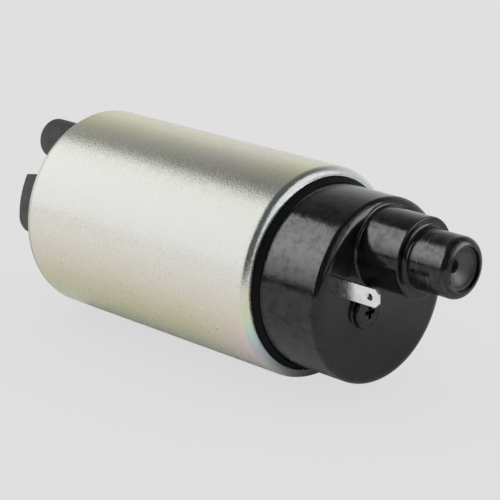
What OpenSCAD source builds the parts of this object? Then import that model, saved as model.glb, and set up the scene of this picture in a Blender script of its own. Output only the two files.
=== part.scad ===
// Electric fuel pump of the in-tank kind, lying on its side.
// X runs along the pump's axis towards the outlet. Z is up, through the outlet
// boss. The origin is on the axis, at the middle of the can.

/* [Can] */
// Outside diameter of the steel can
can_d = 38; // [36:0.5:42]
// Length of the can over its two rolled edges
can_len = 58.8; // [56:0.2:70]
// Wall of the can round the motor
can_wall = 1.6; // [1.3:0.1:1.8]
// Wall of the can in its two counterbored ends
end_wall = 1.1; // [0.9:0.05:1.2]
// Outside radius of the rolled edge at the outlet
outlet_roll = 1.5; // [1.2:0.1:1.6]
// Outside radius of the rolled edge at the inlet
inlet_roll = 1.2; // [1:0.1:1.6]
// How far the outlet lip reaches in from the can's outside
outlet_lip = 1.7; // [1.6:0.05:1.9]
// How far the inlet lip reaches in from the can's outside
inlet_lip = 1.9; // [1.8:0.1:2.2]
// Rounding of each lip's free edge
lip_edge = 0.3; // [0.1:0.05:0.4]

/* [Outlet cover] */
// Thickness of the flange that the can's lip holds
flange_t = 2.8; // [2:0.1:4]
// Width of the groove between the can's lip and the cap
groove_w = 0.9; // [0.8:0.05:1.5]
// Height of the cap above the can's edge
cap_h = 14.1; // [13:0.1:18]
// Side wall of the cap
cap_wall = 1.8; // [1.4:0.1:2]
// Thickness of the cap's flat end
face_t = 2; // [1.8:0.1:2.6]
// Rounding round the cap's flat end
cap_edge = 1.2; // [0.6:0.1:1.5]
// Height of the rubber ring in the groove round the cap
seal_h = 2.2; // [1.6:0.1:2.6]
// How far the ring's face slopes down towards the can's lip
seal_slope = 1.1; // [0.6:0.1:1.3]

/* [Outlet nozzle] */
// Distance of the outlet's centre from the cap's side
outlet_inset = 8.2; // [7.7:0.1:8.6]
// Diameter of the boss under the nozzle
boss_d = 14; // [13:0.1:15]
// Height of the boss on the cap's end
boss_h = 9.1; // [8:0.1:12]
// Fillet at the foot of the boss
boss_foot = 0.5; // [0.3:0.1:0.8]
// Chamfer round the boss's end
boss_chamfer = 0.25; // [0.1:0.05:0.5]
// Diameter of the nozzle
nozzle_d = 10.6; // [10.2:0.1:11]
// Length of the nozzle past the boss
nozzle_len = 8.6; // [8:0.1:14]
// Fillet at the nozzle's foot
nozzle_foot = 0.7; // [0.3:0.1:1]
// Rounding of the nozzle's mouth
nozzle_lip = 1.6; // [0.6:0.1:1.7]
// Bore of the nozzle
nozzle_bore = 6.9; // [6.7:0.1:7.1]

/* [Check valve] */
// Diameter of the hole that the check valve closes
seat_d = 4.4; // [3.8:0.1:4.8]
// Depth of the valve seat's cone, at 45 degrees
seat_cone = 0.6; // [0.4:0.1:0.8]
// Distance of the valve seat past the cap's flat end
seat_x = 3.6; // [3:0.1:4.5]
// Height of the poppet's guide fins
fin_h = 3; // [2.5:0.1:3.4]
// Thickness of each guide fin
fin_t = 0.8; // [0.6:0.1:1.2]
// Diameter of the poppet's stem
stem_d = 2.2; // [1.6:0.1:2.4]
// Length of the poppet's stem past its fins
stem_len = 3; // [2:0.1:3.5]
// Bore of the nozzle's mouth, which holds the insert
insert_d = 7.5; // [7.2:0.1:7.6]
// Depth of the insert's face inside the nozzle's mouth
insert_recess = 0.7; // [0.4:0.1:1.2]
// Length of the insert
insert_len = 4.2; // [3.6:0.1:4.4]
// Diameter of the insert's funnel at its face
funnel_d = 6.8; // [5.6:0.1:7]
// Depth of the funnel
funnel_h = 1.8; // [1.4:0.1:3]
// Diameter of the insert's hole
insert_hole = 2.4; // [2.2:0.1:3.2]
// Turns of the check valve's spring
check_turns = 5; // [4:1:5]
// Wire of the check valve's spring
check_wire = 0.5; // [0.3:0.05:0.55]

/* [Relief valve] */
// Position of the relief valve across the cap
relief_y = -4.6; // [-5.6:0.1:-4.4]
// Position of the relief valve up the cap
relief_z = -2.1; // [-3:0.1:-1.8]
// Outside diameter of the relief valve's boss
relief_d = 6.2; // [6.1:0.1:7]
// Height of the relief valve's boss on the cap's end
relief_h = 1.3; // [0.8:0.1:1.5]
// Length of the relief valve's tube
relief_len = 7.9; // [7.6:0.1:8.3]
// Bore of the relief valve's tube
relief_bore = 4.6; // [4.4:0.1:4.7]
// Diameter of the relief valve's ball
ball_d = 3.8; // [3.6:0.1:4]
// Hole that the ball closes
ball_seat = 2.6; // [2.2:0.1:3]
// Thickness of the tube's bottom under the ball
ball_floor = 1.2; // [1:0.1:1.4]
// Thickness of the plug that holds the relief spring
plug_t = 1; // [0.8:0.1:1.2]
// Depth of the plug below the boss's rim
plug_recess = 0.1; // [0.05:0.05:0.4]
// Length of each slot of the plug's cross
cross_len = 2.4; // [2:0.1:3]
// Width of each slot of the plug's cross
cross_w = 0.7; // [0.5:0.1:0.9]
// Turns of the relief valve's spring
relief_turns = 3; // [2:1:3]
// Wire of the relief valve's spring
relief_wire = 0.35; // [0.3:0.05:0.4]

/* [Terminals] */
// Distance of each terminal from the cap's side
terminal_inset = 5.2; // [4.8:0.1:5.6]
// Height of each terminal's middle
terminal_z = 3.7; // [3.2:0.1:4.4]
// Width of each blade
blade_w = 3.1; // [2.8:0.1:3.6]
// Thickness of each blade
blade_t = 0.5; // [0.4:0.1:0.8]
// Length of each blade outside the cap
blade_len = 9.1; // [8:0.1:12]
// Chamfer of the blade's free corners
blade_chamfer = 0.7; // [0.4:0.1:1]
// Hole in each blade
blade_hole = 1.2; // [1:0.1:1.6]
// Distance of the hole from the blade's end
blade_hole_x = 1.9; // [1.6:0.1:3]
// Width of the foot at the blade's inner end
foot_w = 1.6; // [1.2:0.1:2]

/* [Brushes] */
// Thickness of the brush holder's plate
holder_t = 2.4; // [2:0.1:3]
// Distance of each brush from the axis
brush_y = 6; // [5.8:0.1:6.3]
// Size of each brush across the pump's radius
brush_w = 3.8; // [3.4:0.1:4]
// Size of each brush round the pump's axis
brush_t = 5; // [4:0.1:5.4]
// Length of each brush
brush_len = 7; // [6:0.1:7.5]
// Wall of each brush well
well_wall = 0.9; // [0.8:0.1:1]
// Room for the spring behind each brush
spring_room = 5.3; // [4.8:0.1:5.6]
// Travel of each brush back into its well
brush_travel = 2; // [1.5:0.1:2.2]
// Gap between the commutator and the brush holder
brush_show = 1.1; // [0.8:0.1:1.6]
// Turns of each brush spring
brush_turns = 5; // [4:1:5]
// Wire of each brush spring
brush_wire = 0.4; // [0.3:0.05:0.45]
// Mean diameter of each brush spring
brush_spring_d = 2.8; // [2.4:0.1:2.9]
// Wire of each brush's flexible lead
lead_d = 0.8; // [0.6:0.1:1]
// Height of the lead's bow between the brush and the choke
lead_bow = 0.25; // [0.1:0.05:0.4]

/* [Chokes] */
// Height of each choke's middle
choke_z = -2.2; // [-3:0.1:-2]
// Diameter of the ferrite core
choke_d = 2.4; // [2:0.1:2.6]
// Length of the ferrite core
choke_len = 8.6; // [8:0.1:9]
// Wire of the choke's winding
choke_wire = 0.7; // [0.5:0.05:0.8]
// Turns of the choke's winding
choke_turns = 6; // [4:1:6]
// Height of the pedestal under each choke
pedestal_h = 0.5; // [0.3:0.1:1]

/* [Motor] */
// Diameter of the shaft
shaft_d = 3.2; // [3:0.1:3.6]
// Depth of the flat that drives the impeller
shaft_flat = 0.5; // [0.3:0.1:0.7]
// Outside diameter of each bearing bush
bush_d = 5.8; // [5.4:0.1:6]
// Length of each bearing bush
bush_len = 4; // [3:0.1:4.2]
// Diameter of the armature's core
core_d = 24; // [22:0.2:25]
// Gap between the pump casing and the magnets
magnet_gap = 3; // [2:0.1:5]
// Number of the core's teeth and of the commutator's segments
slots = 8; // [8:1:10]
// Width of each slot's mouth
slot_mouth = 1.6; // [1.2:0.1:2]
// Depth of the tooth tips
tooth_tip = 1.4; // [1.2:0.1:1.8]
// Radius where the slots end
slot_root = 5.4; // [5:0.1:6]
// Thickness of each end insulator
insulator_t = 0.8; // [0.5:0.1:1]
// Height of the end turns past the insulators
turn_h = 3.2; // [2.6:0.1:3.6]
// Gap between the core and the magnets
air_gap = 0.5; // [0.4:0.05:0.8]
// Length that the magnets reach past the core at each end
magnet_over = 4; // [3:0.1:4.4]
// Angle that each magnet covers
magnet_arc = 136; // [120:1:140]
// Sheet of the magnet clips
clip_t = 0.5; // [0.4:0.05:0.7]
// Depth of the magnet clips' legs
clip_leg = 3.4; // [2.5:0.1:4]
// Length that the magnet clips reach past the core at each end
clip_over = 1; // [0:0.1:2]
// Diameter of the commutator
commutator_d = 17; // [16.6:0.1:18]
// Thickness of the commutator's segments
segment_t = 2.4; // [1.8:0.1:3]
// Gap between two segments
segment_gap = 0.5; // [0.4:0.05:0.8]
// Height of the commutator's hub
hub_h = 3.1; // [2.6:0.1:3.6]
// Diameter of the commutator's hub
hub_d = 9; // [8:0.1:10]
// Gap between the hub and the end turns
hub_gap = 0.4; // [0.3:0.1:0.8]

/* [Pump stage] */
// Thickness of the inlet cover
cover_t = 5.1; // [4.6:0.1:7]
// Height of the collar round the nipple
collar_h = 1.1; // [1:0.1:1.4]
// Diameter of the collar round the nipple
collar_d = 10.6; // [9.8:0.1:10.8]
// Distance of the inlet nipple's centre from the can's inlet lip
nipple_inset = 6; // [5.8:0.1:6.4]
// Diameter of the inlet nipple
nipple_d = 7.9; // [7.4:0.1:8.2]
// Length of the nipple past its collar
nipple_len = 14.3; // [12:0.1:18]
// Rounding of the nipple's end
nipple_edge = 1; // [0.5:0.1:1.2]
// Bore of the nipple
nipple_bore = 5.2; // [4:0.1:5.4]
// Gap between the locating lug and the can's inlet lip
lug_gap = 0.2; // [0.1:0.05:0.4]
// Thickness of the lug
lug_t = 3.4; // [2.4:0.1:4]
// Height of the lug above the cover
lug_h = 5.6; // [4:0.1:8]
// Angle of the lug's middle, from Y towards Z
lug_angle = 168.5; // [160:0.5:180]
// Width of the lug
lug_w = 10.7; // [7:0.1:12]
// Rounding of the lug's low corner
lug_corner = 2.4; // [1:0.1:3]
// Diameter of the impeller
impeller_d = 28.8; // [26:0.2:29.6]
// Thickness of the impeller
impeller_t = 3.4; // [3:0.1:4]
// Number of the impeller's vanes
vanes = 36; // [24:1:40]
// Length of the vanes
vane_len = 2.8; // [2.4:0.1:3.2]
// Thickness of each vane at its root
vane_t = 0.9; // [0.7:0.05:1]
// Thickness of the web between the two rows of vanes
web_t = 0.6; // [0.4:0.1:1]
// Depth of the flow channels beside the impeller
channel_h = 1.2; // [0.8:0.1:1.6]
// Angle that the flow channels cover
channel_arc = 300; // [280:5:310]
// Thickness of the pump casing behind the impeller
casing_floor = 4.8; // [4.4:0.1:5.4]
// Outlet port of the pump casing
port_d = 2.6; // [2.2:0.1:2.8]
// How far the shaft reaches into the inlet cover
shaft_reach = 1.1; // [0.8:0.1:1.4]
// Thickness of the thrust disc under the shaft
thrust_t = 1.1; // [0.8:0.1:1.4]
// Diameter of the thrust disc
thrust_d = 4.2; // [3.8:0.1:4.8]

/* [Fits] */
// Gap between two pieces that are pressed or held together
seat_gap = 0.02; // [0.01:0.01:0.04]
// Gap between two pieces that move on each other
run_gap = 0.05; // [0.03:0.01:0.08]

/* [Hidden] */
$fn = 96;

// Overlap that lets one cut or joined form run past another's face
lap = 0.5;
// Rings in one turn of a spring, and sides of its wire
turn_rings = 8;
wire_sides = 6;
// Side of the pump that each of a pair is on: the positive one faces the viewer
positive = -1;
negative = 1;

// Radii of the can
can_r = can_d / 2;
bore_r = can_r - can_wall;
end_r = can_r - end_wall;
outlet_lip_r = can_r - outlet_lip;
inlet_lip_r = can_r - inlet_lip;

// Places along the axis, from the outlet edge of the can
rim_x = can_len / 2;
flange_top = rim_x - end_wall;
flange_x = flange_top - flange_t;
holder_x = flange_x - holder_t;
cap_x = rim_x + cap_h;
cap_inside = cap_x - face_t;
boss_x = cap_x + boss_h;
mouth_x = boss_x + nozzle_len;
valve_x = cap_x + seat_x;
insert_x = mouth_x - insert_recess - insert_len;
relief_top = cap_x + relief_h;
relief_x = relief_top - relief_len;
ball_bore_x = relief_x + ball_floor;
plug_x = relief_top - plug_recess - plug_t;
blade_x = cap_x + blade_len;

// Places along the axis, in the pump stage
inlet_x = -can_len / 2;
cover_x = inlet_x + end_wall;
cover_top = cover_x + cover_t;
impeller_x = cover_top + run_gap;
pocket_top = impeller_x + impeller_t + run_gap;
casing_top = pocket_top + casing_floor;
nipple_x = cover_x - collar_h - nipple_len;
shaft_x = cover_top - shaft_reach;
thrust_x = shaft_x - run_gap - thrust_t;
channel_r = impeller_d / 2 - vane_len;
lug_r = inlet_lip_r - lug_gap;

// Places along the axis, in the motor
commutator_x = holder_x - brush_show;
hub_top = commutator_x - segment_t;
hub_x = hub_top - hub_h;
core_top = hub_x - hub_gap - turn_h - insulator_t;
core_x = casing_top + magnet_gap + magnet_over;
core_len = core_top - core_x;
clip_len = core_len + 2 * clip_over;
brush_x = commutator_x + run_gap;
spring_x = brush_x + brush_len;
well_top = spring_x + spring_room;
choke_x = flange_x + pedestal_h;
foot_x = choke_x + choke_len + seat_gap;
shaft_top = holder_x + brush_show + bush_len + lap;

// Radii that carry one piece in another
flange_r = end_r - seat_gap;
cap_r = outlet_lip_r - groove_w;
hollow_r = cap_r - cap_wall;
outlet_z = cap_r - outlet_inset;
terminal_y = cap_r - terminal_inset;
nipple_z = inlet_lip_r - nipple_inset;
magnet_out = bore_r - seat_gap;
magnet_in = core_d / 2 + air_gap;
check_spring_d = nozzle_bore - 2 * run_gap - 1.8;
relief_spring_d = ball_d * 0.76;
ball_rise = sqrt(pow(ball_d / 2 + seat_gap, 2) - pow(ball_seat / 2, 2));
ball_x = ball_bore_x + ball_rise;
ball_spring_r = ball_d / 2 + relief_wire / 2 + run_gap;
ball_spring_x = ball_x + sqrt(pow(ball_spring_r, 2) - pow(relief_spring_d / 2, 2))
    - relief_wire / 2 - seat_gap;
coil_d = (choke_d + 2 * run_gap) / cos(180 / turn_rings) + choke_wire;

function unit(v) = v / norm(v);

// Points of a spring's centre line, up the local Z axis
function curl_points(d, turns, length) = [
    for (i = [0 : turns * turn_rings])
        let (a = 360 * i / turn_rings)
        [d / 2 * cos(a), d / 2 * sin(a), length * i / (turns * turn_rings)]
];

// Least gap between two turns of a spring, measured on the points
function least_gap(points, wire) = min([
    for (i = [0 : len(points) - 1 - turn_rings])
        for (j = [i + turn_rings - 1 : min(i + turn_rings + 1, len(points) - 1)])
            norm(points[i] - points[j]) - wire
]);

// Turns what is drawn up the local Z axis to run along X, from a place in the pump
module at(x, y = 0, z = 0) {
    translate([x, y, z]) rotate([90, 0, 90]) children();
}

// A disc or a rod along X
module rod(d, x0, x1, y = 0, z = 0) {
    at(x0, y, z) cylinder(d = d, h = x1 - x0);
}

// A square area of a revolved outline, between two radii and two places on the axis
module band(r0, r1, x0, x1) {
    translate([r0, x0]) square([r1 - r0, x1 - x0]);
}

// What a rounded edge takes off a corner at radius r and place x; the signs say
// which way the corner points
module edge_cut(r, x, size, out = 1, up = 1) {
    translate([r - out * size, x - up * size])
        difference() {
            translate([out > 0 ? 0 : -size - lap, up > 0 ? 0 : -size - lap])
                square(size + lap);
            circle(size, $fn = 48);
        }
}

// A tube along points, with a ring of flat sides at each point
module tube(points, d, ref) {
    n = len(points);
    s = wire_sides;
    rings = [
        for (i = [0 : n - 1])
            let (t = unit(points[min(i + 1, n - 1)] - points[max(i - 1, 0)]))
            let (u = unit(cross(t, ref)))
            let (v = cross(t, u))
            for (k = [0 : s - 1])
                points[i] + d / 2 * (cos(360 * k / s) * u + sin(360 * k / s) * v)
    ];
    last = (n - 1) * s;
    caps = [
        for (k = [1 : s - 2])
            each [[0, k, k + 1], [last, last + k + 1, last + k]]
    ];
    sides = [
        for (i = [0 : n - 2])
            for (k = [0 : s - 1])
                let (a = i * s + k, b = i * s + (k + 1) % s)
                each [[a, a + s, b + s], [a, b + s, b]]
    ];
    polyhedron(rings, concat(caps, sides));
}

// A spring along X between two places, standing clear of both
module spring(d, wire, turns, x0, x1, y = 0, z = 0) {
    points = curl_points(d, turns, x1 - x0 - wire - 2 * seat_gap);
    echo(str("least gap of a spring, mm: ", least_gap(points, wire)));
    at(x0 + wire / 2 + seat_gap, y, z) tube(points, wire, [0, 0, 1]);
}

// The steel can: a tube counterbored at both ends and rolled over the two covers
module can() {
    color("darkkhaki") at(0) rotate_extrude() difference() {
        union() {
            band(bore_r, can_r, casing_top, holder_x);
            band(end_r, can_r, inlet_x, rim_x);
            band(inlet_lip_r, can_r, inlet_x, cover_x);
            band(outlet_lip_r, can_r, flange_top, rim_x);
        }
        edge_cut(can_r, rim_x, outlet_roll);
        edge_cut(can_r, inlet_x, inlet_roll, 1, -1);
        edge_cut(outlet_lip_r, rim_x, lip_edge, -1, 1);
        edge_cut(inlet_lip_r, inlet_x, lip_edge, -1, -1);
    }
}

// Outline of the cap and its flange, revolved
module cap_shell() {
    at(0) rotate_extrude() difference() {
        union() {
            band(0, flange_r, flange_x, flange_top - seat_gap);
            band(0, cap_r, flange_x, cap_x);
        }
        band(0, hollow_r, flange_x - lap, cap_inside);
        edge_cut(cap_r, cap_x, cap_edge);
    }
}

// Outline of the boss and the nozzle, revolved round the outlet's own axis
module outlet_form() {
    boss_r = boss_d / 2;
    nozzle_r = nozzle_d / 2;
    at(0, 0, outlet_z) rotate_extrude() difference() {
        union() {
            band(0, boss_r, cap_inside - lap, boss_x);
            band(0, boss_r + boss_foot, cap_x - cap_edge / 2, cap_x + boss_foot);
            band(0, nozzle_r, boss_x - lap, mouth_x);
            band(0, nozzle_r + nozzle_foot, boss_x - lap, boss_x + nozzle_foot);
        }
        translate([boss_r + boss_foot, cap_x + boss_foot]) circle(boss_foot, $fn = 48);
        translate([nozzle_r + nozzle_foot, boss_x + nozzle_foot])
            circle(nozzle_foot, $fn = 48);
        translate([boss_r, boss_x]) rotate(45)
            square(boss_chamfer * sqrt(2), center = true);
        edge_cut(nozzle_r, mouth_x, nozzle_lip);
    }
}

// The socket inside the cap that holds a terminal's blade
module terminal_socket(side) {
    socket_w = blade_w + 2 * well_wall;
    socket_t = blade_t + 2 * well_wall;
    translate([foot_x + 2 * foot_w, side * terminal_y - socket_t / 2,
               terminal_z - socket_w / 2])
        cube([cap_inside + lap - foot_x - 2 * foot_w, socket_t, socket_w]);
}

// The slot that the blade passes through
module blade_slot(side) {
    slot_w = blade_w + 2 * seat_gap;
    slot_t = blade_t + 2 * seat_gap;
    translate([foot_x, side * terminal_y - slot_t / 2, terminal_z - slot_w / 2])
        cube([cap_x + lap - foot_x, slot_t, slot_w]);
}

// The moulded outlet cover: flange, cap, outlet boss, nozzle and relief valve tube
module outlet_cover() {
    color("black") difference() {
        union() {
            cap_shell();
            outlet_form();
            rod(relief_d, relief_x, relief_top, relief_y, relief_z);
            for (side = [positive, negative]) terminal_socket(side);
        }
        rod(nozzle_bore, valve_x, mouth_x + lap, 0, outlet_z);
        rod(insert_d, insert_x - seat_gap, mouth_x + lap, 0, outlet_z);
        rod(seat_d, cap_inside - 2 * lap, mouth_x, 0, outlet_z);
        at(valve_x - seat_cone, 0, outlet_z)
            cylinder(d1 = seat_d, d2 = seat_d + 2 * seat_cone, h = seat_cone);
        rod(relief_bore, ball_bore_x, relief_top + lap, relief_y, relief_z);
        rod(ball_seat, relief_x - lap, relief_top, relief_y, relief_z);
        for (side = [positive, negative]) blade_slot(side);
    }
}

// The rubber ring in the groove between the cap and the can's lip
module cover_seal() {
    inner = cap_r + seat_gap;
    outer = outlet_lip_r - seat_gap;
    seal_top = flange_top + seal_h;
    color("dimgray") at(0) rotate_extrude()
        polygon([
            [inner, flange_top], [outer, flange_top], [outer, seal_top - seal_slope],
            [inner, seal_top]
        ]);
}

// The insert in the nozzle's mouth: a funnel that narrows to a hole
module nozzle_insert() {
    color("gray") difference() {
        rod(insert_d - 2 * seat_gap, insert_x, insert_x + insert_len, 0, outlet_z);
        rod(insert_hole, insert_x - lap, mouth_x, 0, outlet_z);
        at(insert_x + insert_len - funnel_h, 0, outlet_z)
            cylinder(d1 = insert_hole, d2 = funnel_d, h = funnel_h);
    }
}

// The poppet that closes the outlet: a cone, guide fins and a stem
module check_valve_poppet() {
    fin_x = valve_x + run_gap;
    color("darkorange") {
        at(valve_x - seat_cone, 0, outlet_z)
            cylinder(d1 = seat_d - 2 * run_gap, d2 = seat_d + 2 * seat_cone - 2 * run_gap,
                     h = seat_cone);
        rod(seat_d + 2 * seat_cone - 2 * run_gap, valve_x, valve_x + fin_t, 0, outlet_z);
        rod(stem_d, valve_x, fin_x + fin_h + stem_len, 0, outlet_z);
        intersection() {
            rod(nozzle_bore - 2 * run_gap, fin_x, fin_x + fin_h, 0, outlet_z);
            for (turn = [0, 90])
                at(fin_x, 0, outlet_z) rotate(turn)
                    translate([-nozzle_bore / 2, -fin_t / 2, 0])
                        cube([nozzle_bore, fin_t, fin_h]);
        }
    }
}

module check_valve_spring() {
    color("silver")
        spring(check_spring_d, check_wire, check_turns, valve_x + run_gap + fin_h,
               insert_x, 0, outlet_z);
}

module relief_valve_ball() {
    color("silver") translate([ball_x, relief_y, relief_z]) sphere(d = ball_d);
}

module relief_valve_spring() {
    color("silver")
        spring(relief_spring_d, relief_wire, relief_turns, ball_spring_x, plug_x,
               relief_y, relief_z);
}

// The plug of the relief valve, with a vent in the shape of a cross
module relief_valve_plug() {
    color("black") difference() {
        rod(relief_bore - 2 * seat_gap, plug_x, plug_x + plug_t, relief_y, relief_z);
        for (turn = [0, 90])
            at(plug_x - lap, relief_y, relief_z) rotate(turn)
                translate([-cross_len / 2, -cross_w / 2, 0])
                    cube([cross_len, cross_w, plug_t + 2 * lap]);
    }
}

// A blade terminal: a flat blade with a foot that meets its choke
module terminal(side) {
    low = terminal_z - blade_w / 2;
    high = terminal_z + blade_w / 2;
    foot_low = choke_z - choke_d / 2;
    color("silver") difference() {
        translate([0, side * terminal_y + blade_t / 2, 0]) rotate([90, 0, 0])
            linear_extrude(blade_t)
                polygon([
                    [foot_x, foot_low], [foot_x + foot_w, foot_low], [foot_x + foot_w, low],
                    [blade_x - blade_chamfer, low], [blade_x, low + blade_chamfer],
                    [blade_x, high - blade_chamfer], [blade_x - blade_chamfer, high],
                    [foot_x, high]
                ]);
        translate([blade_x - blade_hole_x, side * terminal_y, terminal_z])
            rotate([90, 0, 0]) cylinder(d = blade_hole, h = 2 * blade_t, center = true);
    }
}

module terminal_positive() terminal(positive);
module terminal_negative() terminal(negative);

// The ferrite rod of a choke, upright between the brush holder and a terminal's foot
module choke_core(side) {
    color("darkslategray")
        rod(choke_d, choke_x, choke_x + choke_len, side * terminal_y, choke_z);
}

module choke_core_positive() choke_core(positive);
module choke_core_negative() choke_core(negative);

// The copper winding round a choke's rod
module choke_coil(side) {
    color("peru")
        spring(coil_d, choke_wire, choke_turns, choke_x, choke_x + choke_len,
               side * terminal_y, choke_z);
}

module choke_coil_positive() choke_coil(positive);
module choke_coil_negative() choke_coil(negative);

// The well that one brush slides in, as a solid block and as the room inside it
module well_block(side) {
    w = brush_w + 2 * run_gap + 2 * well_wall;
    t = brush_t + 2 * run_gap + 2 * well_wall;
    translate([holder_x, side * brush_y - w / 2, -t / 2])
        cube([well_top + well_wall - holder_x, w, t]);
}

module well_room(side) {
    w = brush_w + 2 * run_gap;
    t = brush_t + 2 * run_gap;
    translate([holder_x - lap, side * brush_y - w / 2, -t / 2])
        cube([well_top + lap - holder_x, w, t]);
    // The slot that the brush's lead moves in
    translate([spring_x - 2 * lead_d, side * brush_y + (side > 0 ? 0 : -w),
               -lead_d])
        cube([brush_travel + 3 * lead_d, w, 2 * lead_d]);
}

// A window of the holder's plate, for the fuel that has passed through the motor
module holder_window(start, arc) {
    at(holder_x - lap) rotate(start) rotate_extrude(angle = arc)
        band(hub_d + well_wall, hollow_r - lap, 0, holder_t + 2 * lap);
}

// The brush holder: a plate with the upper bearing's seat, two brush wells and
// a pedestal for each choke
module brush_holder() {
    window = 110;
    color("ivory") difference() {
        union() {
            rod(2 * flange_r, holder_x, flange_x);
            rod(bush_d + 2 * well_wall, holder_x, shaft_top + lap);
            for (side = [positive, negative]) {
                well_block(side);
                rod(choke_d + 2 * choke_wire, flange_x - lap, choke_x,
                    side * terminal_y, choke_z);
            }
        }
        for (side = [positive, negative]) well_room(side);
        rod(bush_d + 2 * seat_gap, holder_x + brush_show, shaft_top + 2 * lap);
        rod(shaft_d + 4 * lap, holder_x - lap, holder_x + 2 * brush_show);
        for (middle = [90, 270]) holder_window(middle - window / 2, window);
    }
}

// A carbon brush, which the spring presses on the commutator's face
module brush(side) {
    color("dimgray")
        translate([brush_x, side * brush_y - brush_w / 2, -brush_t / 2])
            cube([brush_len, brush_w, brush_t]);
}

module brush_positive() brush(positive);
module brush_negative() brush(negative);

module brush_spring(side) {
    color("silver")
        spring(brush_spring_d, brush_wire, brush_turns, spring_x, well_top,
               side * brush_y, 0);
}

module brush_spring_positive() brush_spring(positive);
module brush_spring_negative() brush_spring(negative);

// The flexible lead from a brush's side, through the well's slot, to its choke
module brush_lead(side) {
    y0 = brush_y + brush_w / 2 + seat_gap;
    z1 = choke_z + (coil_d + choke_wire + lead_d) / 2 + seat_gap;
    x = spring_x - lead_d / 2;
    steps = 6;
    points = [
        for (i = [0 : steps])
            let (s = i / steps)
            [x, side * (y0 + (terminal_y - y0) * s), z1 * s + lead_bow * sin(180 * s)]
    ];
    color("peru") tube(points, lead_d, [1, 0, 0]);
}

module brush_lead_positive() brush_lead(positive);
module brush_lead_negative() brush_lead(negative);

// A sintered bush for the shaft
module bush(x) {
    color("goldenrod") difference() {
        rod(bush_d, x, x + bush_len);
        rod(shaft_d + 2 * run_gap, x - lap, x + bush_len + lap);
    }
}

module upper_bearing() bush(holder_x + brush_show + seat_gap);
module lower_bearing() bush(casing_top - bush_len);

// A magnet: an arc of ferrite that the clips press against the can
module magnet(middle) {
    color("darkslategray") at(core_x - magnet_over) rotate(middle - magnet_arc / 2)
        rotate_extrude(angle = magnet_arc)
            band(magnet_in, magnet_out, 0, core_len + 2 * magnet_over);
}

module magnet_upper() magnet(90);
module magnet_lower() magnet(270);

// A spring clip between the ends of the two magnets
module magnet_clip(middle) {
    // Half of the angle that the gap between the magnets leaves, less the seating gap
    half = (180 - magnet_arc) / 2 - seat_gap * 180 / (PI * magnet_in);
    color("silver") at(core_x + core_len / 2 - clip_len / 2) rotate(middle) {
        rotate(-half) rotate_extrude(angle = 2 * half)
            band(magnet_out - clip_t, magnet_out, 0, clip_len);
        for (end = [0, 1]) mirror([0, end, 0]) rotate(half)
            translate([magnet_out - clip_leg, -clip_t, 0])
                cube([clip_leg - clip_t / 2, clip_t, clip_len]);
    }
}

module magnet_clip_left() magnet_clip(180);
module magnet_clip_right() magnet_clip(0);

// The shaft, flattened where it drives the impeller
module shaft() {
    color("gainsboro") difference() {
        rod(shaft_d, shaft_x, shaft_top);
        translate([shaft_x - lap, shaft_d / 2 - shaft_flat, -shaft_d])
            cube([pocket_top - shaft_x + lap, shaft_d, 2 * shaft_d]);
    }
}

// Outline of one slot of the core, less a clearance on every side
module slot_outline(gap = 0) {
    top = core_d / 2 - tooth_tip;
    wide = (PI * 2 * top / slots - slot_mouth) / 2;
    narrow = (PI * 2 * slot_root / slots - slot_mouth) / 2;
    polygon([[slot_root + gap, -narrow + gap], [top - gap, -wide + gap],
             [top - gap, wide - gap], [slot_root + gap, narrow - gap]]);
}

// Outline of the core: teeth with wide tips round a hub
module core_outline() {
    difference() {
        circle(d = core_d);
        circle(d = shaft_d + 2 * seat_gap);
        for (i = [0 : slots - 1]) rotate(360 * i / slots) {
            slot_outline();
            translate([core_d / 2 - tooth_tip - lap, -slot_mouth / 2])
                square([2 * tooth_tip, slot_mouth]);
        }
    }
}

module armature_core() {
    color("slategray") at(core_x) linear_extrude(core_len) core_outline();
}

// The plastic end plates between the core and the end turns
module core_insulators() {
    color("seagreen") for (x = [core_x - insulator_t - seat_gap, core_top + seat_gap])
        at(x) linear_extrude(insulator_t) core_outline();
}

// The copper windings: a bundle in each slot and a ring of end turns at both ends
module armature_windings() {
    reach = insulator_t + turn_h;
    turn_r = core_d / 2 - tooth_tip - lap;
    ring_x = insulator_t + 2 * seat_gap;
    color("peru") {
        at(core_x - reach) for (i = [0 : slots - 1]) rotate(360 * i / slots)
            translate([0, 0, lap]) linear_extrude(core_len + 2 * reach - 2 * lap)
                slot_outline(4 * seat_gap);
        for (end = [0, 1])
            at(end > 0 ? core_top : core_x) mirror([0, 0, 1 - end])
                rotate_extrude() difference() {
                    band(slot_root - lap, turn_r, ring_x, reach);
                    edge_cut(turn_r, reach, turn_h / 2);
                    edge_cut(slot_root - lap, reach, turn_h / 3, -1, 1);
                }
    }
}

// The commutator's plastic hub
module commutator_hub() {
    color("saddlebrown") difference() {
        union() {
            rod(hub_d, hub_x, hub_top);
            rod(commutator_d, hub_top - hub_h / 3, hub_top - seat_gap);
        }
        rod(shaft_d + 2 * seat_gap, hub_x - lap, hub_top + lap);
    }
}

// The commutator's flat ring of carbon segments
module commutator_segments() {
    color("dimgray") at(hub_top) linear_extrude(segment_t) difference() {
        circle(d = commutator_d);
        circle(d = shaft_d + 2 * well_wall);
        for (i = [0 : slots - 1]) rotate(360 * (i + 0.5) / slots)
            translate([0, -segment_gap / 2]) square([commutator_d, segment_gap]);
    }
}

// The flow channel beside the impeller, open over most of a turn
module channel(x, up) {
    depth = up > 0 ? [0, channel_h] : [-channel_h, 0];
    at(x) rotate(90 - channel_arc) rotate_extrude(angle = channel_arc)
        band(channel_r, impeller_d / 2, depth[0] - (up > 0 ? lap : 0),
             depth[1] + (up > 0 ? 0 : lap));
}

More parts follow.
